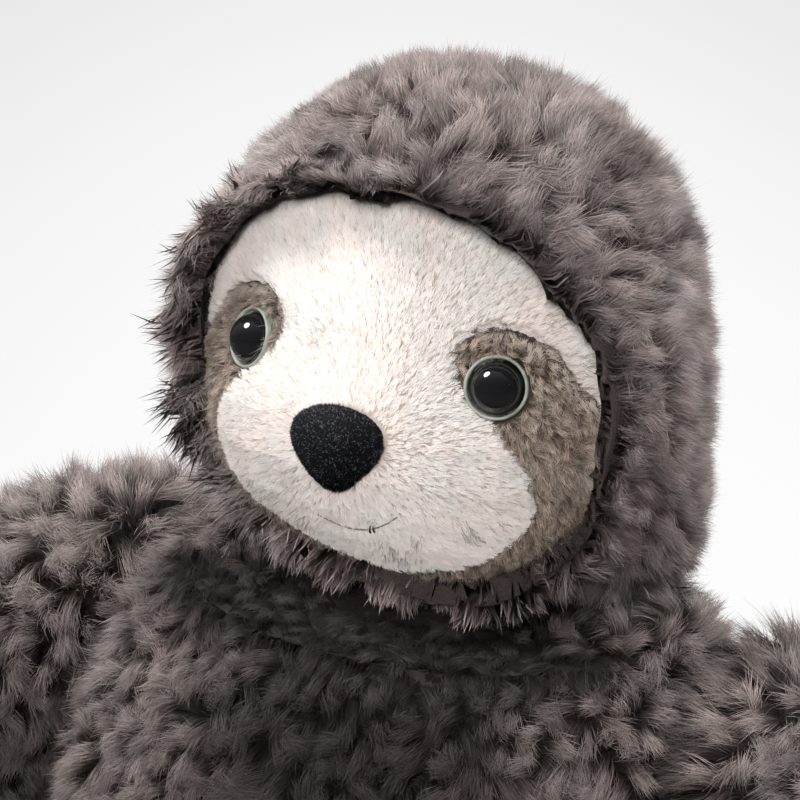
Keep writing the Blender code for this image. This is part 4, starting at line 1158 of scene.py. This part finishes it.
def torso_look(roots, close):
    """The torso's fur: short under the chin, long where it meets the arms, with painted shade under the chin
    and a painted shadow of the head down the chest.
    """
    below_chin = smooth(0.150, 0.172, roots[:, 2]) * smooth(0.0, -0.02, roots[:, 1])
    # A painted shadow of the head, down the middle of the chest.
    painted_chest_shadow = smooth(0.060, 0.020, np.abs(roots[:, 0] - 0.012)) * smooth(0.08, 0.15, roots[:, 2])
    by_shoulder = smooth(0.140, 0.165, roots[:, 2]) * smooth(0.050, 0.075, np.abs(roots[:, 0]))
    lean = np.array([[0, 0, -0.55]]) + below_chin[:, None] * np.array([[0, -0.3, -0.6]])
    lean += by_shoulder[:, None] * np.array([[0, 0, 0.6]])
    return body_look(
        close,
        length=TORSO_PILE - NECK_PILE_DROP * below_chin + SHOULDER_PILE * by_shoulder,
        gather=0.5,
        lean=lean + 0.30 * swirl(roots, 0.024) + 0.22 * swirl(roots, 0.010),
        stray=0.36,
        uneven=0.22,
        # Painted shade under the chin, and the painted shadow down the chest.
        edge=np.maximum(0.97 * below_chin, 0.85 * painted_chest_shadow),
    )


limb_fur(
    "torso",
    ["torso_cover", "torso_stuffing"],
    ["head_hood", "head_stuffing", "arm_left_cover", "arm_right_cover", "leg_left_cover", "leg_right_cover"],
    torso_look,
)


# The arms: long tubes of the same fur, sewn to the torso at the shoulders. Their pile is longest
# there and stands in pointed tufts.
ARM_PILE = 0.0115
UPPER_ARM_PILE = 0.0020
ARM_SEAM_PILE = 0.0040


def limb_look(roots, close):
    """An arm's or a leg's fur, which is longest at the shoulder and leans over the seam there."""
    shoulder = smooth(0.09, 0.15, roots[:, 2])
    inner = shoulder * smooth(0.105, 0.085, np.abs(roots[:, 0]))
    to_body = -np.sign(roots[:, :1]) * (1.0, 0, 0)
    lean = np.array([[0, 0, -0.45]]) * (1 - 0.6 * shoulder)[:, None]
    return body_look(
        close,
        length=ARM_PILE + UPPER_ARM_PILE * shoulder + ARM_SEAM_PILE * inner,
        gather=0.48 + 0.12 * shoulder,
        lean=lean + 0.25 * swirl(roots, 0.024) + (0.8 * inner)[:, None] * to_body,
        stray=0.30,
        uneven=0.24,
    )


for side_name in ("left", "right"):
    body = f"arm_{side_name}"
    limb_fur(body, [f"{body}_cover", f"{body}_stuffing"], ["torso_cover"], limb_look)

# The legs: shorter tubes of the same fur, sewn to the torso under the belly. They lie on the table
# with their pile pressed flat below.
for side_name in ("left", "right"):
    body = f"leg_{side_name}"
    limb_fur(body, [f"{body}_cover", f"{body}_stuffing"], ["torso_cover"], limb_look)

# The claws: three horns of napped suede cloth on each paw and foot, stuffed firm and sewn into the
# end of the limb.
CLAW_CELL = 0.0010
CLAW_ROUNDS = 3
NAP_PITCH = 0.0006
SUEDE_DARK = (0.40, 0.33, 0.27, 1)
SUEDE_LIGHT = (0.66, 0.58, 0.50, 1)

suede_finish = cloth_finish("claw_suede", SUEDE_DARK, SUEDE_LIGHT, NAP_PITCH)
for body in ("arm_left", "arm_right", "leg_left", "leg_right"):
    for number in (1, 2, 3):
        node = f"{body}_claw_{number}"
        mesh = remeshed(joined_mesh(node, [node]), CLAW_CELL, CLAW_ROUNDS)
        claw = add_piece(f"{node}_horn", mesh, suede_finish, body)
        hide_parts(node)
